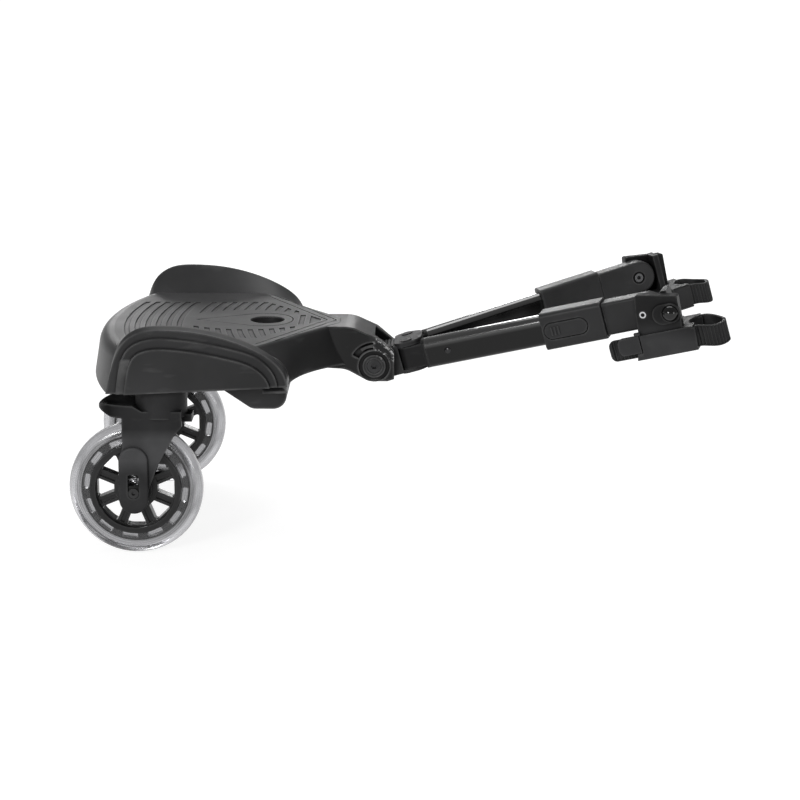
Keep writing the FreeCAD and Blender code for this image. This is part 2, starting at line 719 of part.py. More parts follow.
def axle_screw(name, side):
    """Axle in the bearings, with its socket head in the outer window."""
    radius = S.bearing_bore - S.running_gap
    reach = S.leg_gap + S.channel_depth - S.slider_gap
    low, high = between(side, reach, reach + S.axle_head_thick)
    shaft = rod(name + "_shaft", "Y", radius, -reach, reach)
    head = rod(name + "_head", "Y", S.axle_head_radius, low, high)
    socket_low, socket_high = between(side, reach, reach + S.axle_head_thick + S.cut_overrun)
    socket = hexagon(name + "_socket", "Y", S.axle_hex, socket_low, socket_high)
    return cut(name, fuse(name + "_blank", [shaft, head]), [socket])


def axle_sliders(name):
    """Blocks that guide the axle in the spring channels."""
    radius = S.bearing_bore - S.running_gap
    half = S.channel_width / 2 - S.slider_gap
    rise = S.slider_height / 2
    inner = S.hub_width / 2 + S.side_gap
    outer = S.leg_gap + S.channel_depth - S.slider_gap
    blocks = []
    for end, sign in (("a", 1), ("b", -1)):
        low, high = between(sign, S.leg_gap + S.slider_gap, outer)
        block = box(f"{name}_{end}_block", -half, half, low, high, -rise, rise)
        collar_low, collar_high = between(sign, inner, S.leg_gap + S.slider_gap)
        collar = rod(f"{name}_{end}_collar", "Y", half, collar_low, collar_high)
        bore_low, bore_high = between(sign, inner, outer)
        bore = rod(f"{name}_{end}_bore", "Y", radius, bore_low, bore_high)
        blocks.append(cut(f"{name}_{end}", fuse(f"{name}_{end}_blank", [block, collar]), [bore]))
    return group(name, blocks)


# forks, modelled about the swivel axis at floor height

def fork(name):
    axle_x = -S.trail
    leg_out = S.leg_gap + S.leg_thick
    boss_out = leg_out + S.boss_proud
    foot = S.wheel_radius - S.leg_foot
    foot_round = S.leg_half * round_share
    crown_high = S.crown_low + S.crown_thick
    leg_outline = [
        (axle_x - S.leg_back, crown_high), (axle_x - S.leg_back, S.boss_high),
        (axle_x - S.leg_half, S.leg_bend_high), (axle_x - S.leg_half, foot, foot_round),
        (axle_x + S.leg_half, foot, foot_round),
        (axle_x + S.leg_half, S.wheel_radius), (axle_x + S.leg_bend_ahead, S.leg_bend_high),
        (S.leg_top_ahead, S.leg_top_high), (S.crown_front, S.crown_low - S.crown_thick),
        (S.crown_front, crown_high)]
    boss_outline = oblong(foot, S.boss_high, axle_x - S.boss_half, axle_x + S.boss_half)
    boss_outline = [(v, u, r) for u, v, r in boss_outline][::-1]
    solids = []
    tools = []
    for end, sign in (("a", 1), ("b", -1)):
        low, high = between(sign, S.leg_gap, leg_out)
        solids.append(pad(f"{name}_leg_{end}", "XZ", leg_outline, low, high))
        low, high = between(sign, leg_out, boss_out)
        boss = pad(f"{name}_boss_{end}", "XZ", boss_outline, low, high)
        face = float(boss_out) * sign
        soften(boss, S.boss_soft, lambda p, face=face: abs(p.y - face) < float(S.running_gap))
        solids.append(boss)
        # channel for the slider and its spring, open to the wheel
        half = S.channel_width / 2
        rise = S.slider_height / 2 + S.slider_gap
        low, high = between(sign, S.leg_gap - S.cut_overrun, S.leg_gap + S.channel_depth)
        tools.append(box(f"{name}_channel_{end}", axle_x - half, axle_x + half, low, high,
                         S.wheel_radius - rise, S.channel_high))
        low, high = between(sign, S.leg_gap, boss_out + S.cut_overrun)
        window = [(axle_x - half, S.wheel_radius - half, half * blunt_share),
                  (axle_x + half, S.wheel_radius - half, half * blunt_share),
                  (axle_x + half, S.window_high, S.boss_soft),
                  (axle_x - half, S.window_high, S.boss_soft)]
        tools.append(pad(f"{name}_window_{end}", "XZ", window, low, high))
    crown_x = axle_x - S.leg_back
    crown = box(name + "_crown", crown_x, S.crown_front, -leg_out, leg_out, S.crown_low, crown_high)
    head = rod(name + "_head", "Z", S.head_radius, S.crown_low, S.head_high)
    tip = axle_x - S.fender_back
    root = -S.fender_front
    under = S.crown_low + S.fender_rise
    fender_outline = [
        (crown_x + S.crown_thick, S.crown_low), (tip + S.fender_curl, under),
        (tip, S.fender_high - S.fender_edge), (tip, S.fender_high, S.boss_soft),
        (axle_x, S.fender_high - S.boss_soft), (root, under), (root, S.crown_low)]
    fender_plan = [(tip, -leg_out, S.fender_round), (root, -leg_out), (root, leg_out),
                   (tip, leg_out, S.fender_round)]
    fender = common(name + "_fender", pad(name + "_fender_side", "XZ", fender_outline, -leg_out, leg_out),
                    pad(name + "_fender_plan", "XY", fender_plan, S.tab_low, S.head_high))
    # hollow along the top of the mudguard
    chord = leg_out - S.boss_soft
    dish_radius = (chord * chord + S.fender_dish * S.fender_dish) / (S.fender_dish * 2)
    dish = rod(name + "_dish", "X", dish_radius, tip - S.cut_overrun, -S.head_radius,
               zero, S.fender_high + dish_radius - S.fender_dish)
    dished = cut(name + "_dished", fender, [dish])
    tab = box(name + "_tab", zero, S.tab_front - S.trail, -S.tab_half, S.tab_half, S.tab_low,
              S.crown_low + S.boss_soft)
    solids += [crown, head, dished, tab]
    tools.append(rod(name + "_stem_hole", "Z", S.stem_radius, S.stem_low,
                     S.head_high + S.cut_overrun))
    return cut(name, fuse(name + "_blank", solids), tools)


def swivel_stem(name):
    """Steel stem pressed into the fork head, with a clip groove near its top."""
    shaft = rod(name + "_shaft", "Z", S.stem_radius, S.stem_low, S.stem_high)
    low = S.stem_high - S.bush_wall
    ring = rod(name + "_ring", "Z", S.stem_radius + S.cut_overrun, low, low + S.flange_height)
    core = rod(name + "_core", "Z", S.stem_radius - S.stem_groove, low, low + S.flange_height)
    return cut(name, shaft, [cut(name + "_groove", ring, [core])])


def swivel_bush(name):
    """Flanged plain bearing in the deck socket."""
    low = S.head_high + S.side_gap
    bore = S.stem_radius + S.running_gap
    sleeve = rod(name + "_sleeve", "Z", S.stem_radius + S.bush_wall, low, S.stem_high)
    flange = rod(name + "_flange", "Z", S.bush_flange, low, low + S.flange_height)
    hole = rod(name + "_hole", "Z", bore, low - S.cut_overrun, S.stem_high + S.cut_overrun)
    return cut(name, fuse(name + "_blank", [sleeve, flange]), [hole])


def biarc(start, start_way, end, end_way):
    """Two arcs that leave start along start_way and reach end along end_way."""
    span = end - start
    ways = start_way + end_way
    spread = 2 * (1 - start_way.dot(end_way))
    along_ways = span.dot(ways)
    reach = (math.sqrt(along_ways ** 2 + spread * span.dot(span)) - along_ways) / spread
    middle = (start + end + (start_way - end_way) * reach) * 0.5
    arcs = []
    for a, b, way in ((start, middle, start_way), (end, middle, end_way * -1)):
        chord = b - a
        line = FreeCAD.Vector(chord).normalize()
        bow = way - line * way.dot(line)
        angle = math.atan2(bow.Length, way.dot(line))
        top = (a + b) * 0.5 + bow.normalize() * (chord.Length / 2 * math.tan(angle / 2))
        arcs.append(Part.Arc(a, top, b))
    return arcs


def coil(radius, wire, low, high, turns):
    """Shape of a round-wire spring about the Z axis between two heights."""
    radius, wire = float(radius), float(wire)
    rise = (float(high) - float(low) - 2 * wire) / turns
    start = float(low) + wire
    steps = turns * arcs_per_turn_count
    step_angle = 2 * math.pi / arcs_per_turn_count

    def at(step):
        angle = step * step_angle
        flat = FreeCAD.Vector(math.cos(angle), math.sin(angle), 0) * radius
        return flat + FreeCAD.Vector(0, 0, start + rise * step / arcs_per_turn_count)

    def way(step):
        angle = step * step_angle
        flat = FreeCAD.Vector(-math.sin(angle), math.cos(angle), 0) * (radius * step_angle)
        return (flat + FreeCAD.Vector(0, 0, rise / arcs_per_turn_count)).normalize()

    edges = []
    for step in range(steps):
        arcs = biarc(at(step), way(step), at(step + 1), way(step + 1))
        edges += [arc.toShape() for arc in arcs]
    path = Part.Wire(edges)
    ring = Part.Wire(Part.Circle(at(0), way(0), wire).toShape())
    shell = Part.BRepOffsetAPI.MakePipeShell(path)
    shell.add(ring)
    shell.build()
    shell.makeSolid()
    gap = rise * math.cos(math.atan2(rise, 2 * math.pi * radius)) - 2 * wire
    print(f"spring turns {turns}, least gap between turns {gap:.2f} mm")
    return shell.shape()


def suspension_springs(name):
    """Two springs that press the axle down in the fork."""
    low = S.wheel_radius + S.slider_height / 2 + S.running_gap
    high = S.channel_high - S.running_gap
    across = S.leg_gap + S.channel_depth / 2
    springs = []
    for sign in (1, -1):
        spring = coil(S.spring_radius, S.spring_wire, low, high, spring_turn_count)
        spring.translate(vec(-S.trail, across * sign, zero))
        springs.append(spring)
    item = doc.addObject("Part::Feature", name)
    item.Shape = Part.makeCompound(springs)
    return item


# deck moulding

wing_ridge_shares = ((0, 0), (0.05, 0.56), (0.105, 0.82), (0.19, 0.96), (0.32, 1), (0.53, 0.955),
                     (0.70, 0.84), (0.84, 0.68), (0.945, 0.48), (1, 0.13))
wing_foot_shares = ((0, 0), (0.03, 0.34), (0.09, 0.53), (0.18, 0.585), (0.32, 0.59), (0.53, 0.59),
                    (0.70, 0.58), (0.84, 0.54), (0.945, 0.42), (1, 0.13))
middle_band_shares = ((0.058, 0.005), (0.085, 0.47), (0.13, 0.70), (0.22, 0.825), (0.36, 0.845),
                      (0.56, 0.775), (0.72, 0.68), (0.84, 0.56), (0.915, 0.37), (0.945, 0.13))
panel_shares = ((0.104, 0.01), (0.128, 0.40), (0.165, 0.60), (0.24, 0.69), (0.36, 0.70),
                (0.55, 0.635), (0.69, 0.555), (0.80, 0.46), (0.875, 0.30), (0.905, 0.125))
wing_space_shares = ((0.06, -0.033), (0.09, 0.51), (0.725, 0.476), (0.85, 0.231), (0.8625, -0.033))


def wing_wire(shares, half, drop=zero):
    """Side outline of the wing on the plane at one half width: a curve over a straight foot."""
    length = S.wing_front + S.wing_back
    height = S.wing_high - S.skirt_low
    spots = []
    for along_share, up_share in shares:
        x = ahead(length * along_share - S.wing_back)
        z = S.skirt_low + height * up_share - drop * min(1, up_share / foot_share)
        spots.append(vec(x, half, z))
    curve = Part.BSplineCurve()
    curve.interpolate(spots)
    return Part.Wire([curve.toShape(), Part.makeLine(spots[-1], spots[0])])


def wing(name, side):
    """Raised side of the deck: flared lip, ridge band, stepped middle band and side panel."""
    ridge = S.panel_half - S.ridge_inset
    band = S.panel_half - S.band_inset
    step = S.panel_half - S.step_inset
    layers = (
        (wing_wire(wing_foot_shares, S.wing_base_half), wing_wire(wing_ridge_shares, ridge)),
        (wing_wire(wing_ridge_shares, ridge), wing_wire(wing_ridge_shares, band, S.ridge_bevel)),
        (wing_wire(middle_band_shares, ridge), wing_wire(middle_band_shares, band)),
        (wing_wire(middle_band_shares, band), wing_wire(middle_band_shares, step, S.step_bevel)),
        (wing_wire(panel_shares, band), wing_wire(panel_shares, step)),
        (wing_wire(panel_shares, step), wing_wire(panel_shares, S.panel_half, S.step_bevel)),
    )
    solids = [Part.makeLoft(list(wires), True, True) for wires in layers]
    shape = solids[0].multiFuse(solids[1:])
    if side < 0:
        shape = shape.mirror(vec(0, 0, 0), vec(0, 1, 0))
    item = doc.addObject("Part::Feature", name)
    item.Shape = shape
    return item


def deck_ring(high, back, corner_back, half_rear, half, front, half_front, tip, half_tip, waist):
    """Closed outline of the deck at one height: arcs at rear and sides, shoulders to the tip."""
    rear = vec(ahead(-back), zero, high)
    corner = vec(ahead(-corner_back), half_rear, high)
    middle = vec(ahead((front - corner_back) / 2), half, high)
    turn = vec(ahead(front), half_front, high)
    end = vec(ahead(tip), half_tip, high)

    def other(spot):
        return FreeCAD.Vector(spot.x, -spot.y, spot.z)

    def shoulder(a, b):
        if waist is None:
            return Part.makeLine(a, b)
        middle_spot = vec(ahead(waist[0]), waist[1], high)
        if a.y + b.y < 0:
            middle_spot = other(middle_spot)
        return Part.Arc(a, middle_spot, b).toShape()

    return Part.Wire([
        Part.Arc(other(corner), rear, corner).toShape(), Part.Arc(corner, middle, turn).toShape(),
        shoulder(turn, end), Part.makeLine(end, other(end)), shoulder(other(end), other(turn)),
        Part.Arc(other(turn), other(middle), other(corner)).toShape()])


def deck_blank(name):
    """Solid between the skirt outline and the deck outline, with a rounded border."""
    low = deck_ring(S.skirt_low, S.skirt_back, S.skirt_corner_back, S.skirt_half_rear, S.skirt_half,
                    S.skirt_front, S.skirt_half_front, S.neck_x, S.neck_half,
                    (S.shoulder_x, S.shoulder_half))
    high = deck_ring(S.deck_high, S.deck_back, S.deck_corner_back, S.deck_half_rear, S.deck_half,
                     S.deck_side_front, S.deck_half_front, S.deck_tip, S.deck_tip_half, None)
    shape = Part.makeLoft([low, high], True, True)
    level = float(S.deck_high) - float(S.running_gap)
    wide = float(S.deck_half_rear) - float(S.deck_wall)
    axle_x = float(ahead(zero))

    def border(at_rear):
        found = []
        for edge in shape.Edges:
            spot = edge.CenterOfMass
            long_edge = edge.Length > 2 * float(S.neck_half)
            if spot.z > level and abs(spot.y) < wide and long_edge and (spot.x < axle_x) == at_rear:
                found.append(edge)
        return found

    shape = shape.makeFillet(float(S.rear_soft), border(True))
    shape = shape.makeFillet(float(S.deck_soft), border(False))
    item = doc.addObject("Part::Feature", name)
    item.Shape = shape
    return item


def deck_hollow(name):
    """Space under the deck, inside the skirt."""
    wall = S.deck_wall
    rings = []
    for high, back, corner, half_rear, half, half_front in (
            (S.skirt_low - S.cut_overrun, S.skirt_back - wall, S.skirt_corner_back - wall,
             S.skirt_half_rear - wall, S.skirt_half - wall, S.skirt_half_front - S.corner_wall),
            (S.deck_high - wall, S.deck_back - S.rear_soft, S.deck_corner_back - wall,
             S.deck_half_rear - wall, S.deck_half - wall, S.deck_half_front - S.corner_wall)):
        top = high.value > S.skirt_low.value
        front = S.deck_side_front + wall if top else S.skirt_front - S.front_wall
        rear = vec(ahead(-back), zero, high)
        a = vec(ahead(-corner), half_rear, high)
        m = vec(ahead((front - corner) / 2), half, high)
        b = vec(ahead(front), half_front, high)
        flip = [FreeCAD.Vector(p.x, -p.y, p.z) for p in (a, m, b)]
        rings.append(Part.Wire([
            Part.Arc(flip[0], rear, a).toShape(), Part.Arc(a, m, b).toShape(),
            Part.makeLine(b, flip[2]), Part.Arc(flip[2], flip[1], flip[0]).toShape()]))
    item = doc.addObject("Part::Feature", name)
    item.Shape = Part.makeLoft(rings, True, True)
    return item


def ear_details(name, side):
    """Cutting tools for one ear: head recess, lugged dish and arc pocket with its rib."""
    x, z = ahead(S.hinge_ahead), S.hinge_high
    face = S.neck_half
    low, high = between(side, face - S.bolt_sink, face + S.cut_overrun)
    sink = rod(name + "_sink", "Y", S.bolt_head + S.side_gap, low, high, x, z)
    low, high = between(side, face - S.dish_depth, face + S.cut_overrun)
    dish = rod(name + "_dish", "Y", S.dish_radius, low, high, x, z)
    keep = [rod(name + "_ring", "Y", S.ring_outer, low, high, x, z)]
    for index in range(lug_count):
        lug = box(f"{name}_lug_{index}", zero, S.dish_radius, -S.lug_width / 2, S.lug_width / 2,
                  low, high)
        turn = FreeCAD.Rotation(FreeCAD.Vector(0, 1, 0), 360 / lug_count * (index + 0.5))
        lug.Placement = FreeCAD.Placement(vec(x, zero, z), turn.multiply(
            FreeCAD.Rotation(FreeCAD.Vector(1, 0, 0), -90))).multiply(lug.Placement)
        keep.append(lug)
    return [sink, cut(name + "_dish_ring", dish, keep)]


def arc_pocket(name, side):
    """Arc-shaped pocket in the ear above the bolt, with a curved rib standing in it."""
    x, z = ahead(S.hinge_ahead), S.hinge_high
    face = S.neck_half
    low, high = between(side, face - S.pocket_depth, face + S.cut_overrun)
    middle = (S.pocket_inner + S.pocket_outer) / 2
    rings = []
    for label, inner, outer, start_angle, span_angle in (
            ("pocket", S.pocket_inner, S.pocket_outer, pocket_start_angle, pocket_span_angle),
            ("rib", middle - S.pocket_rib / 2, middle + S.pocket_rib / 2, pocket_start_angle,
             pocket_rib_span_angle)):
        sector = rod(f"{name}_{label}_outer", "Y", outer, low, high, x, z)
        sector.Angle = span_angle
        turn = FreeCAD.Rotation(FreeCAD.Vector(0, -1, 0), start_angle + span_angle)
        sector.Placement.Rotation = turn.multiply(axis_turns["Y"])
        centre = rod(f"{name}_{label}_inner", "Y", inner, low, high, x, z)
        rings.append(cut(f"{name}_{label}", sector, [centre]))
    return cut(name, rings[0], [rings[1]])


def tread_bands(name, back, pitch, count):
    """Bowed bands, each the space between two wide cylinders, one behind the other."""
    low = S.deck_high - S.tread_depth
    high = S.deck_high + S.cut_overrun
    bands = []
    for index in range(count):
        centre = ahead(back + S.tread_width / 2 + pitch * index + S.tread_bow)
        outer = rod(f"{name}_{index}_outer", "Z", S.tread_bow + S.tread_width / 2, low, high, centre)
        inner = rod(f"{name}_{index}_inner", "Z", S.tread_bow - S.tread_width / 2, low, high, centre)
        bands.append(cut(f"{name}_{index}", outer, [inner]))
    return fuse(name, bands)


def drop_outline(inset):
    """Drop shape that points to the rear, drawn inside its own outline by inset."""
    radius = S.drop_radius - inset
    tip = S.drop_tip + inset * drop_tip_share
    front = S.drop_ahead + radius
    flare = (front - tip) * drop_slope_share
    return [(ahead(tip), zero), (ahead(front), -flare, radius * round_share),
            (ahead(front), flare, radius * round_share)]


def deck_tread():
    """Tools for the tread: bands, the drop round the seat socket, bar, shield and border grooves."""
    low = S.deck_high - S.tread_depth
    high = S.deck_high + S.cut_overrun
    half = S.tread_half
    turn, front = ahead(S.side_tread_turn), ahead(S.side_tread_front)
    rear_bands = tread_bands("rear_bands", -S.tread_back, S.tread_pitch, tread_count)
    rear_back = ahead(-S.tread_back - S.tread_width)
    rear = common("rear_tread", rear_bands, box("rear_field", rear_back, turn, -half, half, low, high))
    back = ahead(S.side_tread_back - S.tread_width)
    field = pad("side_field", "XY", [
        (back, -half), (turn, -half), (front, -S.side_tread_half), (front, S.side_tread_half), (turn, half),
        (back, half)], low, high)
    off = S.lens_bow - S.lens_half
    lens = common("lens", rod("lens_a", "Z", S.lens_bow, low, high, ahead(S.lens_ahead), off),
                  rod("lens_b", "Z", S.lens_bow, low, high, ahead(S.lens_ahead), -off))
    side_bands = tread_bands("side_bands", S.side_tread_back, S.side_tread_pitch, side_tread_count)
    side = common("side_tread", side_bands, cut("side_field_bare", field, [lens]))
    drop = cut("drop_groove", pad("drop_outer", "XY", drop_outline(zero), low, high),
               [pad("drop_inner", "XY", drop_outline(S.drop_width), low, high)])
    bar_back = ahead(S.bar_back)
    bar = box("tread_bar", bar_back, bar_back + S.tread_width, -S.bar_half, S.bar_half, low, high)
    shield = pad("tread_shield", "XY", [
        (ahead(S.shield_back), -S.shield_half), (ahead(S.shield_front), -S.shield_tip_half),
        (ahead(S.shield_front), S.shield_tip_half), (ahead(S.shield_back), S.shield_half)], low, high)
    tools = [rear, side, drop, bar, shield]
    for label, shift in (("front", zero), ("rear", S.border_pitch)):
        ends = ahead(S.border_back - shift)
        tip = ahead(S.border_tip - shift)
        wide = S.border_width
        tools.append(pad("border_" + label, "XY", [
            (ends, -S.border_half), (tip, zero), (ends, S.border_half), (ends - wide, S.border_half),
            (tip - wide, zero), (ends - wide, -S.border_half)], low, high))
    return tools


def deck_board():
    hinge_x, hinge_z = ahead(S.hinge_ahead), S.hinge_high
    wall = S.deck_wall
    blank = [deck_blank("deck_blank")]
    blank += [wing("wing_" + label, side) for label, side in sides]
    ear_x = hinge_x + S.ear_front
    ear_z = hinge_z - S.ear_low
    neck_x = ahead(S.shoulder_x)
    neck_high = S.deck_high - S.side_gap
    blank.append(pad("neck", "XZ", [
        (neck_x, S.skirt_low - S.cut_overrun), (hinge_x - S.neck_bend_back, S.neck_bend_high, S.neck_bend),
        (hinge_x - S.ear_back, ear_z, S.ear_round), (ear_x - S.ear_soft, ear_z), (ear_x, ear_z + wall / 2),
        (ear_x, hinge_z + S.ear_high, S.ear_soft),
        (hinge_x + S.cover_front, hinge_z + S.cover_high, S.cover_round),
        (hinge_x - S.cover_back, neck_high, S.cover_bend), (neck_x, neck_high)], -S.neck_half, S.neck_half))
    belly_top = S.skirt_low + S.belly_root
    belly_front = ahead(S.belly_front)
    belly = [(ahead(S.belly_back), belly_top), (belly_front - S.belly_flat, S.belly_low, S.belly_round),
             (belly_front, S.belly_low, S.belly_round), (belly_front, belly_top)]
    blank.append(pad("belly", "XZ", belly, -S.belly_half, S.belly_half))
    shell = fuse("deck_solid", blank)
    wing_space = []
    for along_share, up_share in wing_space_shares:
        x = ahead((S.wing_front + S.wing_back) * along_share - S.wing_back)
        z = S.skirt_low + (S.wing_high - S.skirt_low) * up_share
        wing_space.append((x, z, wall) if up_share > 0 else (x, z))
    inner_round = S.belly_round - wall
    space_top = belly_top + S.cut_overrun
    belly_space = [(ahead(S.belly_back + S.belly_slope), space_top),
                   (belly_front - S.belly_flat, S.belly_low + wall, inner_round),
                   (belly_front - wall, S.belly_low + wall, inner_round), (belly_front - wall, space_top)]
    spaces = [deck_hollow("deck_space"),
              pad("belly_space", "XZ", belly_space, wall - S.belly_half, S.belly_half - wall)]
    for label, side in sides:
        low, high = between(side, S.deck_half_rear - wall * 3, S.panel_half - wall)
        spaces.append(pad("wing_space_" + label, "XZ", wing_space, low, high))
    hollow = cut("deck_hollowed", shell, spaces)
    # ribs, caster sockets and seat socket under the deck
    under = []
    rib_high = S.deck_high - wall / 2
    for index, place in enumerate(rib_places):
        y = S.rib_step * place
        x = ahead(S.rib_taper * place * place - S.rib_back)
        under.append(box(f"long_rib_{index}", x, ahead(S.deck_side_front), y - S.rib_thick / 2,
                         y + S.rib_thick / 2, S.rib_low, rib_high))
    for index, x in enumerate((S.trail, S.trail + S.rib_step)):
        under.append(box(f"cross_rib_{index}", ahead(x) - S.rib_thick / 2, ahead(x) + S.rib_thick / 2,
                         wall - S.panel_half, S.panel_half - wall, S.rib_low, rib_high))
    seat_x = ahead(S.seat_ahead)
    under.append(rod("seat_tube", "Z", S.seat_radius + S.seat_wall, S.skirt_low, rib_high, seat_x))
    socket = S.stem_radius + S.bush_wall
    socket_low = S.head_high + S.side_gap + S.flange_height
    bores = [rod("seat_bore", "Z", S.seat_radius, S.skirt_low + wall, S.deck_high + S.cut_overrun, seat_x)]
    for label, side in sides:
        y = caster_half * side
        x = ahead(S.trail)
        under.append(rod("socket_" + label, "Z", socket + S.socket_wall, socket_low, rib_high, x, y))
        bores.append(rod("socket_bore_" + label, "Z", socket, socket_low - S.cut_overrun, S.stem_high, x, y))
        bores += ear_details("ear_" + label, side)
        bores.append(arc_pocket("arc_" + label, side))
    whole = fuse("deck_ribbed", [hollow] + under)
    far_x = ear_x + S.cut_overrun
    bores.append(rod("knuckle_space", "Y", S.cover_inner, -S.ear_gap, S.ear_gap, hinge_x, hinge_z))
    bores.append(box("knuckle_slot", hinge_x, far_x, -S.ear_gap, S.ear_gap, S.belly_low,
                     S.deck_high + S.cut_overrun))
    bores.append(rod("hinge_bore", "Y", S.bolt_radius + S.running_gap, -S.neck_half - S.cut_overrun,
                     S.neck_half + S.cut_overrun, hinge_x, hinge_z))
    return cut("deck_board", whole, bores + deck_tread())


def hinge_bolt(name):
    """Bolt through the ears and the knuckle, with its socket head on the right."""
    x, z = ahead(S.hinge_ahead), S.hinge_high
    seat = S.neck_half - S.bolt_sink
    shaft = rod(name + "_shaft", "Y", S.bolt_radius, -seat, S.neck_half - S.side_gap, x, z)
    head = rod(name + "_head", "Y", S.bolt_head, -seat - S.bolt_head_thick, -seat, x, z)
    socket = hexagon(name + "_socket", "Y", S.bolt_hex, -seat - S.bolt_head_thick - S.cut_overrun,
                     -seat - S.side_gap, x, z)
    return cut(name, fuse(name + "_blank", [shaft, head]), [socket])


def hinge_nut(name):
    x, z = ahead(S.hinge_ahead), S.hinge_high
    seat = S.neck_half - S.bolt_sink
    body = hexagon(name + "_body", "Y", S.bolt_head, seat, S.neck_half - S.nut_sink, x, z)
    hole = rod(name + "_hole", "Y", S.bolt_radius, seat - S.cut_overrun, S.neck_half + S.cut_overrun, x, z)
    return cut(name, body, [hole])


# knuckle, modelled about the tilt axis with the arms level

def knuckle(name):
    half = S.ear_gap - S.knuckle_side_gap
    arm_top = S.root_height / 2 - S.arm_drop
    arm_low = -S.root_height / 2 - S.arm_drop
    solids = [rod(name + "_barrel", "Y", S.barrel_radius, -half, half),
              box(name + "_web", zero, S.web_front, -half, half, -S.web_low, S.web_high)]
    plate_back = S.web_front - S.cut_overrun
    back_round = S.plate_back_round
    outline = [(plate_back, -S.plate_half, back_round), (S.plate_front, -S.plate_half, S.plate_round),
               (S.plate_front, S.plate_half, S.plate_round), (plate_back, S.plate_half, back_round)]
    top_low = arm_top + S.side_gap
    solids.append(pad(name + "_top", "XY", outline, top_low, top_low + S.top_plate))
    low_high = arm_low - S.side_gap
    solids.append(pad(name + "_low", "XY", outline, low_high - S.low_plate, low_high))
    for index in range(grip_rib_count):
        x = S.web_front - S.boss_soft - S.rib_pitch * (index + 1)
        reach = half - S.boss_soft
        solids.append(box(f"{name}_rib_{index}", x, x + S.rib_pitch / 2, -reach, reach,
                          S.web_high - S.cut_overrun, S.web_high + S.rib_high))
    tools = [rod(name + "_bore", "Y", S.bolt_radius + S.running_gap, -S.neck_half, S.neck_half)]
    for label, side in sides:
        tools.append(rod(f"{name}_pin_hole_{label}", "Z", S.pin_radius,
                         low_high - S.low_plate - S.cut_overrun, top_low + S.top_plate + S.cut_overrun,
                         S.pin_ahead, S.pin_half * side))
    return cut(name, fuse(name + "_blank", solids), tools)


def arm_pins(name):
    """Headed pins that the arms swing on."""
    top = S.root_height / 2 - S.arm_drop + S.side_gap + S.top_plate
    low = -S.root_height / 2 - S.arm_drop - S.side_gap - S.low_plate
    pins = []
    for label, side in sides:
        y = S.pin_half * side
        shaft = rod(f"{name}_{label}_shaft", "Z", S.pin_radius, low, top, S.pin_ahead, y)
        head_top = top + S.pin_head_thick
        head = rod(f"{name}_{label}_head", "Z", S.pin_head, top, head_top, S.pin_ahead, y)
        pins.append(fuse(f"{name}_{label}", [shaft, head]))
    return group(name, pins)


# arms, modelled about the arm pin with +X along the arm and the outside on +Y or -Y

def tube_outline(shrink):
    half = S.tube_width / 2 - shrink
    rise = S.tube_height / 2 - shrink
    return rounded_rectangle(half, -rise, rise, S.tube_round - shrink)


def arm_root(name):
    rise = S.root_height / 2
    neck = S.tube_start - S.tube_wall
    neck_half = S.tube_width / 2 - S.side_gap
    back_round = S.root_half * blunt_share
    flat = [(-S.root_half, -S.root_half, back_round), (neck, -neck_half), (neck, neck_half),
            (-S.root_half, S.root_half, back_round)]
    head = pad(name + "_head", "XY", flat, -rise, rise)
    shoulder = pad(name + "_shoulder", "YZ", tube_outline(zero), neck - S.tube_wall, S.tube_start)
    plug = pad(name + "_plug", "YZ", tube_outline(S.tube_wall + S.running_gap), S.tube_start,
               S.tube_start + S.plug_length)
    hole = rod(name + "_hole", "Z", S.pin_radius + S.running_gap, -S.tube_height, S.tube_height)
    rivet = rod(name + "_rivet_hole", "Y", S.rivet_radius, -S.tube_width, S.tube_width, S.rivet_at)
    return cut(name, fuse(name + "_blank", [head, shoulder, plug]), [hole, rivet])


def arm_tube(name):
    outer = pad(name + "_outer", "YZ", tube_outline(zero), S.tube_start, S.tube_end)
    inner = pad(name + "_inner", "YZ", tube_outline(S.tube_wall), S.tube_start - S.cut_overrun,
                S.tube_end + S.cut_overrun)
    rivet = rod(name + "_rivet_hole", "Y", S.rivet_radius, -S.tube_width, S.tube_width, S.rivet_at)
    return cut(name, outer, [inner, rivet])


def arm_rivet(name):
    half = S.tube_width / 2
    shank = rod(name + "_shank", "Y", S.rivet_radius, -half, half, S.rivet_at)
    heads = []
    ball = (S.rivet_head * S.rivet_head + S.rivet_dome * S.rivet_dome) / (S.rivet_dome * 2)
    for end, sign in (("a", 1), ("b", -1)):
        dome = doc.addObject("Part::Sphere", f"{name}_dome_{end}")
        bind(dome, "Radius", ball)
        move(dome, S.rivet_at, (half + S.rivet_dome - ball) * sign, zero)
        low, high = between(sign, half, half + S.rivet_dome + S.cut_overrun)
        keep = rod(f"{name}_keep_{end}", "Y", S.rivet_head, low, high, S.rivet_at)
        heads.append(common(f"{name}_cap_{end}", dome, keep))
    return fuse(name, [shank] + heads)


def sleeve_outer():
    return S.tube_width / 2 + S.sleeve_wall + S.sleeve_extra


def button_outline(shrink):
    return oblong(S.button_at - S.button_length / 2 + shrink, S.button_at + S.button_length / 2 - shrink,
                  -S.button_height / 2 + shrink, S.button_height / 2 - shrink)


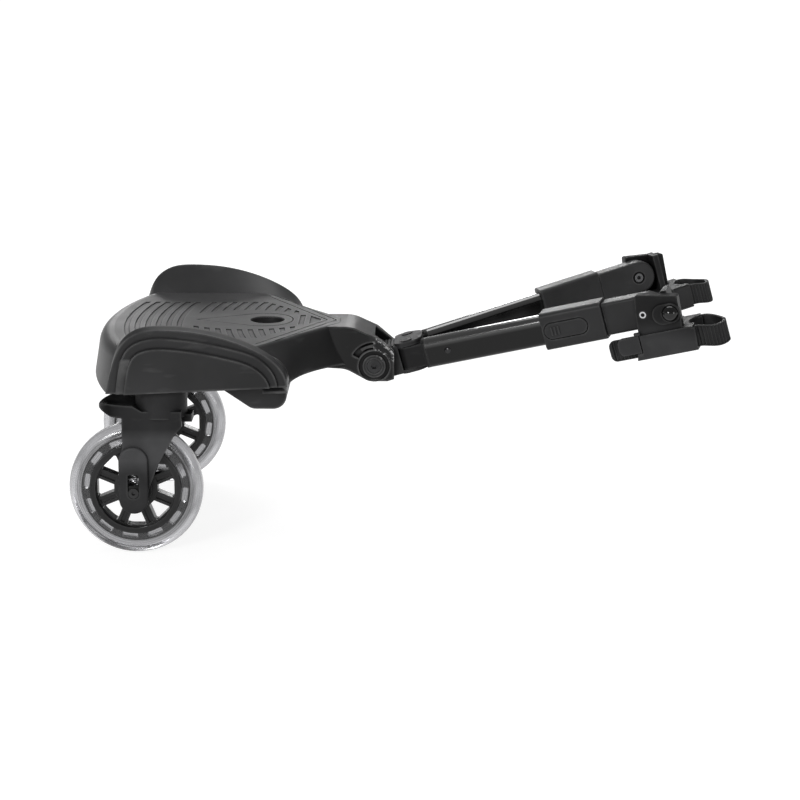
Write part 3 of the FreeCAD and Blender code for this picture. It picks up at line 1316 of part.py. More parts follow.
def arm_sleeve(name, side):
    """Moulded end sleeve with the recess of its button on the outside."""
    inner = S.tube_width / 2 + S.sleeve_wall
    low, high = between(side, -inner, sleeve_outer())
    rise = S.sleeve_height / 2
    block = pad(name + "_block", "YZ", [
        (low, -rise, S.sleeve_round), (high, -rise, S.sleeve_round), (high, rise, S.sleeve_round),
        (low, rise, S.sleeve_round)], S.sleeve_start, S.sleeve_end)
    ends = (float(S.sleeve_start), float(S.sleeve_end))
    soften(block, S.step_bevel / 2, lambda p: min(abs(p.x - e) for e in ends) < float(S.running_gap))
    bore = pad(name + "_bore", "YZ", tube_outline(zero), S.sleeve_start - S.cut_overrun, S.tube_end)
    mouth = pad(name + "_mouth", "YZ", tube_outline(S.tube_wall), S.tube_start, S.sleeve_end + S.cut_overrun)
    low, high = between(side, S.tube_width / 2, sleeve_outer() + S.cut_overrun)
    recess = pad(name + "_recess", "XZ", button_outline(zero), low, high)
    return cut(name, block, [bore, mouth, recess])


def sleeve_button(name, side):
    """Push button that frees the sliding arm, with thumb ribs at its rear end."""
    top = sleeve_outer() + S.button_proud
    low, high = between(side, top - S.button_thick, top)
    plate = pad(name + "_plate", "XZ", button_outline(S.button_gap), low, high)
    face = float(top) * side
    soften(plate, S.step_bevel / 2, lambda p: abs(p.y - face) < float(S.running_gap))
    ribs = []
    low, high = between(side, top - S.button_rib, top + S.button_rib)
    for index in range(button_rib_count):
        x = S.button_at - S.button_rib_back + S.rib_pitch * index
        ribs.append(box(f"{name}_rib_{index}", x, x + S.rib_pitch / 2, low, high, -S.button_rib_half,
                        S.button_rib_half))
    return fuse(name, [plate] + ribs)


def button_spring(name, side):
    """Plain ring that stands for the small return spring under the button."""
    top = sleeve_outer() + S.button_proud - S.button_thick
    low, high = between(side, S.tube_width / 2, top)
    outer = rod(name + "_outer", "Y", S.leaf_radius, low, high, S.button_at)
    inner = rod(name + "_inner", "Y", S.leaf_radius - S.leaf_wall, low, high, S.button_at)
    return cut(name, outer, [inner])


def extension(name, side):
    """Sliding bar with the end housing that carries the connector."""
    half = S.housing_width / 2
    rise = S.housing_height / 2
    bar = pad(name + "_bar", "YZ", tube_outline(S.tube_wall + S.bar_gap), S.bar_start,
              S.sleeve_end + S.disc_radius)
    start = S.sleeve_end + S.side_gap
    end = S.joint_at + S.disc_radius
    housing = pad(name + "_housing", "XZ", [
        (start, -rise), (end, -rise, rise * round_share), (end, rise, rise * round_share), (start, rise)],
        -half, half)
    soften(housing, S.housing_soft,
           lambda p: abs(abs(p.y) - half.value) < S.running_gap.value and p.x > (start + S.side_gap).value)
    inside = -side
    low, high = between(inside, half - S.recess_depth, half + S.cut_overrun)
    tools = [rod(name + "_bolt_hole", "Y", S.joint_radius, -S.housing_width, S.housing_width, S.joint_at),
             rod(name + "_recess", "Y", S.joint_recess, low, high, S.joint_at)]
    low, high = between(inside, half - S.detent_depth, half + S.cut_overrun)
    for index in range(detent_count):
        size = S.detent_size / 2
        ring = S.detent_ring
        hole = box(f"{name}_detent_{index}", ring - size, ring + size, low, high, -size, size)
        angle = detent_start_angle + detent_step_angle * index
        turn = FreeCAD.Rotation(FreeCAD.Vector(0, -1, 0), angle)
        hole.Placement = FreeCAD.Placement(vec(S.joint_at, zero, zero), turn).multiply(hole.Placement)
        tools.append(hole)
    return cut(name, fuse(name + "_blank", [bar, housing]), tools)


# connectors, modelled about the joint bolt with +X along the arm

def joint_bolt(name, side):
    """Bolt with its head inside the arm and its socketed end on the connector's cheek."""
    half = S.housing_width / 2
    cheek = half + S.cheek_gap + S.cheek_thick
    low, high = between(side, -half + S.recess_depth, cheek)
    shaft = rod(name + "_shaft", "Y", S.joint_radius, low, high)
    low, high = between(-side, half - S.recess_depth, half - S.side_gap)
    head = rod(name + "_head", "Y", S.joint_head, low, high)
    hex_low, hex_high = between(-side, half - S.recess_depth + S.side_gap, half + S.cut_overrun)
    socket = hexagon(name + "_socket", "Y", S.joint_hex, hex_low, hex_high)
    low, high = between(side, cheek - S.recess_depth / 2, cheek + S.cut_overrun)
    end_socket = hexagon(name + "_end_socket", "Y", S.joint_hex, low, high)
    return cut(name, fuse(name + "_blank", [shaft, head]), [socket, end_socket])


def strap_lines():
    """Across-arm places of the strap's outer and inner run, and the radii of its bend."""
    inner_radius = S.saddle_radius + S.strap_slack
    return -S.saddle_in, inner_radius, inner_radius + S.strap_thick


def connector(name, side):
    cheek_in = S.housing_width / 2 + S.cheek_gap
    cheek_out = cheek_in + S.cheek_thick
    middle, strap_in, strap_out = strap_lines()
    outer_run = middle + strap_out
    skin = outer_run + S.lever_seat + S.lever_thick
    wall = S.jaw_wall
    far = cheek_out + S.collar_high + S.cut_overrun
    low, high = between(side, cheek_in, cheek_out)
    cheek = pad(name + "_cheek", "XZ", [
        (-S.cheek_back, S.cheek_bend), (-S.cheek_top_back, S.cheek_high, S.boss_soft),
        (S.cheek_front, S.cheek_front_high, S.boss_soft), (S.cheek_front - S.boss_soft, -S.jaw_high),
        (-S.lever_front, -S.jaw_high)][::-1], low, high)
    block_top = -S.jaw_high
    low, high = between(side, middle - strap_out - wall, skin)
    block = pad(name + "_block", "XZ", [
        (-S.lever_front, block_top), (-S.jaw_back, -S.jaw_low),
        (S.jaw_front - S.boss_soft, -S.jaw_low), (S.jaw_front, block_top + S.boss_soft, S.boss_soft),
        (S.jaw_front - S.boss_soft, block_top)], low, high)
    low, high = between(side, -S.housing_width / 2, cheek_in)
    fin = box(name + "_fin", S.fin_back, S.fin_back + S.fin_thick, low, high, block_top, S.fin_high)
    low, high = between(side, cheek_out - S.cut_overrun, cheek_out + S.collar_high)
    collar_x = S.dome_at - S.collar_reach / 2
    collar_half = S.collar_radius + S.collar_reach / 2
    collar = pad(name + "_collar", "XZ", oblong(collar_x - collar_half, collar_x + collar_half,
                 -S.dome_drop - S.collar_radius, -S.dome_drop + S.collar_radius), low, high)
    solids = [cheek, block, fin, collar]
    # ears that hold the strap lever
    low, high = between(side, outer_run + S.lever_seat, skin)
    reach = S.lever_pin_at + S.lever_ear
    ear_lows = (("high", S.side_gap - S.lever_high), ("low", -S.lever_low - S.side_gap - S.lever_ear))
    for label, z in ear_lows:
        solids.append(box(f"{name}_ear_{label}", -reach, -S.lever_front + S.boss_soft, low, high, z,
                          z + S.lever_ear))
    tools = []
    # seat for the pushchair tube, slots for the two runs of the strap
    seat_y = middle * side
    tools.append(rod(name + "_seat", "Z", S.saddle_radius, -S.jaw_low - S.cut_overrun, S.fin_high,
                     S.saddle_at, seat_y))
    strap_high = block_top - S.boss_soft / 2
    strap_low = strap_high - S.strap_width
    gap = S.strap_gap
    low, high = between(side, middle + strap_in - gap, outer_run + gap)
    tools.append(box(name + "_outer_slot", -S.strap_tail, S.saddle_at, low, high, strap_low - gap,
                     strap_high + gap))
    low, high = between(side, middle - strap_out - gap, middle - strap_in + gap)
    tools.append(box(name + "_inner_slot", S.anchor_at - gap, S.saddle_at, low, high, strap_low - gap,
                     strap_high + gap))
    # open corner inside of the block in front of the anchor, and room for the lever
    inside = middle - strap_out - wall - S.cut_overrun
    low, high = between(side, inside, middle - strap_out + gap)
    tools.append(box(name + "_anchor_front", S.anchor_at + S.fin_thick, S.saddle_at, low, high,
                     -S.jaw_low - S.cut_overrun, block_top + S.cut_overrun))
    low, high = between(side, outer_run, skin + S.cut_overrun)
    tools.append(box(name + "_lever_room", -S.strap_tail, S.lever_room - S.lever_front, low, high,
                     -S.lever_low - S.side_gap, S.side_gap - S.lever_high))
    pin_y = (outer_run + S.lever_seat + S.lever_thick / 2) * side
    tools.append(rod(name + "_lever_hole", "Z", S.lever_pin + S.running_gap,
                     -S.lever_low - S.lever_ear, -S.lever_high + S.lever_ear, -S.lever_pin_at, pin_y))
    # bores of the joint bolt and of the lock button with its cup
    dome_x, dome_z = S.dome_at, -S.dome_drop
    tools.append(rod(name + "_bolt_hole", "Y", S.joint_radius + S.running_gap, -far, far))
    low, high = between(side, cheek_in - S.dome_travel - S.side_gap, far)
    tools.append(rod(name + "_stem_hole", "Y", S.dome_stem + S.running_gap, low, high, dome_x, dome_z))
    low, high = between(side, cheek_out - S.dome_travel, far)
    tools.append(rod(name + "_cup", "Y", S.dome_radius + S.side_gap, low, high, dome_x, dome_z))
    # room for the round end of the arm
    low, high = between(side, inside, cheek_in)
    tools.append(rod(name + "_disc_room", "Y", S.disc_radius + S.disc_gap, low, high))
    return cut(name, fuse(name + "_blank", solids), tools)


def strap(name, side):
    """Ribbed rubber strap: anchored inside, round the tube and out through the block."""
    middle, strap_in, strap_out = strap_lines()
    nose = S.saddle_at + strap_out
    inner_nose = S.saddle_at + strap_in
    outer_round, inner_round = strap_out * bend_share, strap_in * bend_share
    tail, tail_round = -S.strap_tail, S.boss_soft / 2
    corners = [(S.anchor_at, middle - strap_out), (nose, middle - strap_out, outer_round),
               (nose, middle + strap_out, outer_round), (tail, middle + strap_out, tail_round),
               (tail, middle + strap_in, tail_round), (inner_nose, middle + strap_in, inner_round),
               (inner_nose, middle - strap_in, inner_round), (S.anchor_at, middle - strap_in)]
    if side < 0:
        corners = [(c[0], -c[1]) + tuple(c[2:]) for c in corners][::-1]
    high = -S.jaw_high - S.boss_soft / 2
    return pad(name, "XY", corners, high - S.strap_width, high)


def strap_lever(name, side):
    """Release lever over the strap tail, on its own trunnions."""
    middle, strap_in, strap_out = strap_lines()
    seat = middle + strap_out + S.lever_seat
    low, high = between(side, seat, seat + S.lever_thick)
    plate = pad(name + "_plate", "XZ", [
        (-S.lever_back, -S.lever_low, S.lever_round), (-S.lever_front, -S.lever_low),
        (-S.lever_front, -S.lever_high), (-S.lever_back, -S.lever_high, S.lever_round)], low, high)
    y = (seat + S.lever_thick / 2) * side
    reach = S.lever_ear * blunt_share
    pin = rod(name + "_pin", "Z", S.lever_pin, -S.lever_low - reach, reach - S.lever_high, -S.lever_pin_at, y)
    return fuse(name, [plate, pin])


def lock_button(name, side):
    """Domed push button that frees the connector's tilt."""
    cheek_out = S.housing_width / 2 + S.cheek_gap + S.cheek_thick
    base = cheek_out + S.side_gap
    rim = base + S.dome_skirt
    ball = (S.dome_radius * S.dome_radius + S.dome_high * S.dome_high) / (S.dome_high * 2)
    low, high = between(side, base, rim)
    skirt = rod(name + "_skirt", "Y", S.dome_radius, low, high, S.dome_at, -S.dome_drop)
    dome = doc.addObject("Part::Sphere", name + "_ball")
    bind(dome, "Radius", ball)
    move(dome, S.dome_at, (rim + S.dome_high - ball) * side, -S.dome_drop)
    low, high = between(side, rim, rim + S.dome_high + S.cut_overrun)
    keep = rod(name + "_keep", "Y", S.dome_radius, low, high, S.dome_at, -S.dome_drop)
    cap = common(name + "_cap", dome, keep)
    low, high = between(side, S.housing_width / 2 + S.cheek_gap, base)
    stem = rod(name + "_stem", "Y", S.dome_stem, low, high, S.dome_at, -S.dome_drop)
    return fuse(name, [skirt, cap, stem])


def lock_spring(name, side):
    """Plain ring that stands for the return spring in the button's cup."""
    cheek_out = S.housing_width / 2 + S.cheek_gap + S.cheek_thick
    low, high = between(side, cheek_out - S.dome_travel, cheek_out + S.side_gap)
    radius = S.dome_radius - S.leaf_wall
    outer = rod(name + "_outer", "Y", radius, low, high, S.dome_at, -S.dome_drop)
    inner = rod(name + "_inner", "Y", radius - S.leaf_wall, low, high, S.dome_at, -S.dome_drop)
    return cut(name, outer, [inner])


# the whole part

node(deck_board(), "deck_board")
node(hinge_bolt("hinge_bolt"), "hinge_bolt")
node(hinge_nut("hinge_nut"), "hinge_nut")

hinge_place = FreeCAD.Placement(vec(ahead(S.hinge_ahead), zero, S.hinge_high),
                                FreeCAD.Rotation(FreeCAD.Vector(0, -1, 0), float(S.tilt_angle)))
node(knuckle("knuckle"), "hinge_knuckle").Placement = hinge_place
node(arm_pins("pins"), "arm_pins").Placement = hinge_place

for label, side in sides:
    swing = FreeCAD.Placement(vec(S.pin_ahead, S.pin_half * side, -S.arm_drop),
                              FreeCAD.Rotation(FreeCAD.Vector(0, 0, 1), float(S.splay_angle) * side))
    arm_place = hinge_place.multiply(swing)
    joint_place = arm_place.multiply(FreeCAD.Placement(vec(S.joint_at, zero, zero), FreeCAD.Rotation()))
    for item, name in ((arm_root(label + "_root"), "arm_root"), (arm_tube(label + "_tube"), "arm_tube"),
                       (arm_rivet(label + "_rivet"), "arm_rivet"),
                       (arm_sleeve(label + "_sleeve", side), "arm_sleeve"),
                       (sleeve_button(label + "_button", side), "sleeve_button"),
                       (button_spring(label + "_button_spring", side), "sleeve_button_spring"),
                       (extension(label + "_extension", side), "arm_extension")):
        node(item, f"{label}_{name}").Placement = arm_place
    for item, name in ((joint_bolt(label + "_joint_bolt", side), "joint_bolt"),
                       (connector(label + "_connector", side), "connector"),
                       (strap(label + "_strap", side), "strap"),
                       (strap_lever(label + "_lever", side), "strap_lever"),
                       (lock_button(label + "_lock", side), "lock_button"),
                       (lock_spring(label + "_lock_spring", side), "lock_button_spring")):
        node(item, f"{label}_{name}").Placement = joint_place
    across = caster_half * side
    for item, name in ((fork(label + "_fork"), "caster_fork"), (swivel_stem(label + "_stem"), "swivel_stem"),
                       (swivel_bush(label + "_bush"), "swivel_bush"),
                       (suspension_springs(label + "_springs"), "suspension_springs")):
        move(node(item, f"{label}_{name}"), ahead(S.trail), across, zero)
    for item, name in ((wheel_core(label + "_core"), "wheel_core"), (tyre(label + "_tyre"), "tyre"),
                       (bearings(label + "_bearings"), "wheel_bearings"),
                       (axle_screw(label + "_axle", side), "axle_screw"),
                       (axle_sliders(label + "_sliders"), "axle_sliders")):
        move(node(item, f"{label}_{name}"), ahead(zero), across, S.wheel_radius)

doc.recompute()
faults = [f"{item.Label}: {item.State}" for item in doc.Objects
          if any(word in ("Invalid", "Error") for word in item.State)]
for item in nodes:
    if item.Shape.isNull() or not item.Shape.isValid():
        faults.append(item.Label + ": shape is not valid")
if faults:
    raise SystemExit("\n".join(faults))

os.makedirs("parts", exist_ok=True)
for item in nodes:
    item.Shape.exportStep(f"parts/{item.Label}.step")
print(len(nodes), "sub-parts written")
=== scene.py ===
import json
import math
import bpy
import numpy as np
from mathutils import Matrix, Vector


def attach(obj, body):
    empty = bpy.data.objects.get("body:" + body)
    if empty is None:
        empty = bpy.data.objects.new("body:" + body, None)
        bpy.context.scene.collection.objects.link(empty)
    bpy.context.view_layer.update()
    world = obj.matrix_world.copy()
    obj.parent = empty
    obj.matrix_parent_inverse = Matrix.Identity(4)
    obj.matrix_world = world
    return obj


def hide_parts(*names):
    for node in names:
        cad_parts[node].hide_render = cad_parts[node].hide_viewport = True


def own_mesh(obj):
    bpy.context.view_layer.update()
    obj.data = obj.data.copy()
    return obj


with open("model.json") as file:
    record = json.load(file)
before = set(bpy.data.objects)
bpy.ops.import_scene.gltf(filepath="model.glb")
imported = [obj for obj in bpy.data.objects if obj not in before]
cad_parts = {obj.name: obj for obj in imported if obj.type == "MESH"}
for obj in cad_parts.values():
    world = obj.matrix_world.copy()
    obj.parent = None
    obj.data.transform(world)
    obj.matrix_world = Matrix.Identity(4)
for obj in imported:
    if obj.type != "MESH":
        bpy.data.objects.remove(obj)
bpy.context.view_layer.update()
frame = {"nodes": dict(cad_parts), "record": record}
nodes = frame["nodes"]
sides = (("left", 1), ("right", -1))
print("frame", len(nodes))


class Socket:
    def __init__(self, paint, socket):
        self.paint = paint
        self.socket = socket

    def math(self, operation, other=None, swap=False):
        pair = (self,) if other is None else (other, self) if swap else (self, other)
        return self.paint.add("ShaderNodeMath", dict(enumerate(pair)), operation=operation)

    def __add__(self, other):
        return self.math("ADD", other)

    def __radd__(self, other):
        return self.math("ADD", other, True)

    def __sub__(self, other):
        return self.math("SUBTRACT", other)

    def __rsub__(self, other):
        return self.math("SUBTRACT", other, True)

    def __mul__(self, other):
        return self.math("MULTIPLY", other)

    def __rmul__(self, other):
        return self.math("MULTIPLY", other, True)


# shares of free rays between which an edge or a hollow fades in, the rays sent from each place,
# and the share of a reach over which the paint near a point stays full
probe = {"edge": (0.62, 0.95), "hollow": (0.45, 0.97), "rays": 6, "bevelRays": 4, "core": 0.7}


class Paint:
    def __init__(self, tree, kind="ShaderNodeOutputMaterial"):
        self.tree = tree
        self.tree.nodes.clear()
        self.output = tree.nodes.new(kind)

    def add(self, kind, inputs=None, out=0, **settings):
        node = self.tree.nodes.new(kind)
        for key, value in settings.items():
            setattr(node, key, value)
        for key, value in (inputs or {}).items():
            if isinstance(value, Socket):
                self.tree.links.new(value.socket, node.inputs[key])
            else:
                node.inputs[key].default_value = value
        return Socket(self, node.outputs[out])

    def spot(self):
        return self.add("ShaderNodeTexCoord", out="Object")

    def vector(self, operation, first, second=None, out="Vector"):
        pair = {0: first} if second is None else {0: first, 1: second}
        return self.add("ShaderNodeVectorMath", pair, out, operation=operation)

    def noise(self, scale, detail=2.0, stretch=(1, 1, 1)):
        spot = self.spot()
        if stretch != (1, 1, 1):
            spot = self.add("ShaderNodeMapping", {"Vector": spot, "Scale": stretch})
        return self.add("ShaderNodeTexNoise", {"Vector": spot, "Scale": scale, "Detail": detail})

    def span(self, value, low, high, toLow=0.0, toHigh=1.0):
        ends = {"Value": value, 1: low, 2: high, 3: toLow, 4: toHigh}
        return self.add("ShaderNodeMapRange", ends, clamp=True)

    def near(self, point, reach):
        # one round a point, falling to zero a given reach away from it
        away = self.vector("DISTANCE", self.spot(), point, "Value")
        return self.span(away, reach * probe["core"], reach, 1.0, 0.0)

    def mixColor(self, share, first, second):
        return self.add("ShaderNodeMix", {0: share, 6: first, 7: second}, 2, data_type="RGBA")

    def softEdge(self, radius):
        return self.add("ShaderNodeBevel", {"Radius": radius}, samples=probe["bevelRays"])

    def freeRays(self, reach, inside):
        return self.add("ShaderNodeAmbientOcclusion", {"Distance": reach}, "AO",
                        samples=probe["rays"], inside=inside)

    def edges(self, reach):
        # one on outer edges, where rays sent into the solid soon meet its other wall
        return self.span(self.freeRays(reach, True), *probe["edge"], 1.0, 0.0)

    def hollows(self, reach, depth):
        # below one in grooves and recesses, where open sky is hidden within the reach; it masks the painted
        # shade in hollows
        return self.span(self.freeRays(reach, False), *probe["hollow"], 1.0 - depth, 1.0)

    def bump(self, height, distance, strength, normal):
        return self.add("ShaderNodeBump", {
            "Height": height, "Distance": distance, "Strength": strength, "Normal": normal})

    def finish(self, shader):
        self.tree.links.new(shader.socket, self.output.inputs["Surface"])


def newPaint(name):
    material = bpy.data.materials.new(name)
    material.use_nodes = True
    return material, Paint(material.node_tree)


def gray(level, tint=0.03):
    return (level, level, level * (1 + tint), 1)


# what all moulded pieces share: limits of the noise that makes each mark, and its roughness
moulding = {"cloud": (0.32, 0.68), "glossSwing": 0.04, "patch": (0.36, 0.6, 0.25, 1.0),
            "scuff": (0.6, 0.74), "streak": (1, 1, 3.5), "markRough": 0.12, "hollowRough": 0.5,
            "hollowShadeLevel": 0.002, "flakeAndGlintEdge": 0.03}


def mouldedPaint(recipe):
    # broad cloud for tone and gloss, fine grain for bump, scuffs in streaks, pale edges that are partly
    # rubbed by use and partly painted highlight, painted shade in hollows and along an axis
    material, paint = newPaint(recipe["name"])
    cloud = paint.span(paint.noise(recipe["cloud"], 3.0), *moulding["cloud"])
    grain = paint.noise(recipe["grain"], 2.0)
    color = paint.mixColor(cloud, gray(recipe["dark"]), gray(recipe["light"]))
    swing = moulding["glossSwing"]
    rough = paint.span(cloud, 0.0, 1.0, recipe["rough"] + swing, recipe["rough"] - swing)
    for fade in recipe.get("fades", ()):
        # painted shade: the colour is darkened toward black along one axis of the frame, from one share of it
        # to another
        place = paint.add("ShaderNodeSeparateXYZ", {0: paint.spot()}, fade["axis"])
        share = paint.span(place, fade["start"], fade["end"], fade["low"], fade["high"])
        color = paint.mixColor(share, gray(0.0), color)
    if recipe.get("hollowShade"):
        # painted shade: darker in hollows, where shade falls, and duller there
        unshaded = paint.hollows(recipe["hollowShadeReach"], recipe["hollowShade"])
        color = paint.mixColor(unshaded, gray(moulding["hollowShadeLevel"]), color)
        rough = rough + (1 - unshaded) * moulding["hollowRough"]
    if recipe.get("wearAndHighlight"):
        # the stronger of pale edges in patches, partly rubbed by use and partly painted highlight, and scuffs
        patch = paint.span(paint.noise(recipe["patch"], 4.0), *moulding["patch"])
        wornAndHighlight = paint.edges(recipe["edge"]) * patch * recipe["wearAndHighlight"]
        streaks = paint.noise(recipe["scuff"], 5.0, moulding["streak"])
        scuff = paint.span(streaks, *moulding["scuff"]) * recipe["scuffShare"]
        mark = wornAndHighlight.math("MAXIMUM", scuff)
        color = paint.mixColor(mark, color, gray(recipe["wornAndHighlight"], 0.0))
        rough = rough + mark * moulding["markRough"]
    for chipAndGlint in recipe.get("chipsAndGlints", ()):
        # pale bits at the edges near one place, partly chipped and partly painted highlight
        flakeAndGlintNoise = paint.noise(chipAndGlint["scale"], 3.0)
        flakeAndGlint = paint.span(flakeAndGlintNoise, chipAndGlint["cut"], chipAndGlint["cut"] + moulding["flakeAndGlintEdge"])
        flakeAndGlint = flakeAndGlint * paint.near(chipAndGlint["at"], chipAndGlint["reach"]) * paint.edges(chipAndGlint["edge"])
        color = paint.mixColor(flakeAndGlint, color, gray(chipAndGlint["level"], 0.0))
    normal = paint.bump(grain, recipe["depth"], recipe["strength"], paint.softEdge(recipe["soft"]))
    inputs = {"Base Color": color, "Roughness": rough, "Normal": normal,
              "Specular IOR Level": recipe["specular"]}
    if recipe.get("highlightCoat"):
        # a glossier coat that grows with the height over a slanted plane, placed along the top edge so that
        # it shows a highlight
        highlightCoat = recipe["highlightCoat"]
        offset = paint.vector("SUBTRACT", paint.spot(), highlightCoat["at"])
        rise = paint.vector("DOT_PRODUCT", offset, highlightCoat["up"], "Value")
        inputs.update({"Coat Weight": paint.span(rise, highlightCoat["start"], highlightCoat["end"]),
                       "Coat Roughness": highlightCoat["rough"], "Coat IOR": highlightCoat["ior"]})
    paint.finish(paint.add("ShaderNodeBsdfPrincipled", inputs))
    return material


metal = {"cloud": (0.32, 0.68), "dirtShare": 0.72, "dull": 0.08, "bright": 0.06, "depth": 0.00005,
         "strength": 0.2}


def metalPaint(recipe):
    # fine grain in the bump, and a soft cloud in the gloss, darker and duller where it is low
    material, paint = newPaint(recipe["name"])
    cloud = paint.span(paint.noise(recipe["cloud"], 3.0), *metal["cloud"])
    color = paint.mixColor(cloud, gray(recipe["level"] * metal["dirtShare"]), gray(recipe["level"]))
    rough = paint.span(cloud, 0.0, 1.0, recipe["rough"] + metal["dull"], recipe["rough"] - metal["bright"])
    grain = paint.noise(recipe["grain"], 2.0)
    normal = paint.bump(grain, metal["depth"], metal["strength"], paint.softEdge(recipe["soft"]))
    paint.finish(paint.add("ShaderNodeBsdfPrincipled", {
        "Base Color": color, "Metallic": recipe["metallic"], "Roughness": rough, "Normal": normal}))
    return material


def tyrePaint(recipe):
    # milky clear urethane: painted light and shade in rings by distance from the axle, scuffed gloss
    material, paint = newPaint(recipe["name"])
    offset = paint.vector("SUBTRACT", paint.spot(), recipe["axle"])
    flat = paint.vector("MULTIPLY", offset, (1, 0, 1))
    away = paint.vector("LENGTH", flat, out="Value")
    level = None
    # painted light and shade: steps of lighter and darker tone in rings round the axle
    for start, end, low, high in recipe["rings"]:
        step = paint.span(away, start, end, low, high)
        level = step if level is None else level + step
    level = level + (away * (math.tau / recipe["fine"])).math("SINE") * recipe["fineShare"]
    cloud = paint.span(paint.noise(recipe["cloud"], 3.0), *recipe["milk"])
    color = paint.add("ShaderNodeCombineColor", {
        0: level * cloud, 1: level * cloud, 2: level * cloud * recipe["blue"]})
    scuff = paint.noise(recipe["scuff"], 3.0)
    rough = paint.span(scuff, *recipe["scuffed"], recipe["rough"], recipe["rough"] + recipe["dull"])
    paint.finish(paint.add("ShaderNodeBsdfPrincipled", {
        "Base Color": color, "Roughness": rough, "Normal": paint.softEdge(recipe["soft"]),
        "IOR": recipe["ior"], "Transmission Weight": recipe["clear"]}))
    return material


def boltPaint(recipe):
    # a turned ring round a dark centre, by distance from the bolt's axis; the dark centre is painted shade in
    # place of a socket's recess
    material, paint = newPaint(recipe["name"])
    offset = paint.vector("SUBTRACT", paint.spot(), recipe["at"])
    across = paint.vector("CROSS_PRODUCT", offset, recipe["axis"])
    away = paint.vector("LENGTH", across, out="Value")
    bright = paint.span(away, recipe["socket"], recipe["socket"] + recipe["socketEdge"])
    color = paint.mixColor(bright, gray(recipe["dark"]), gray(recipe["level"]))
    rough = paint.span(paint.noise(recipe["grain"], 2.0), *recipe["gloss"])
    paint.finish(paint.add("ShaderNodeBsdfPrincipled", {
        "Base Color": color, "Metallic": recipe["metallic"], "Roughness": rough,
        "Normal": paint.softEdge(recipe["soft"])}))
    return material


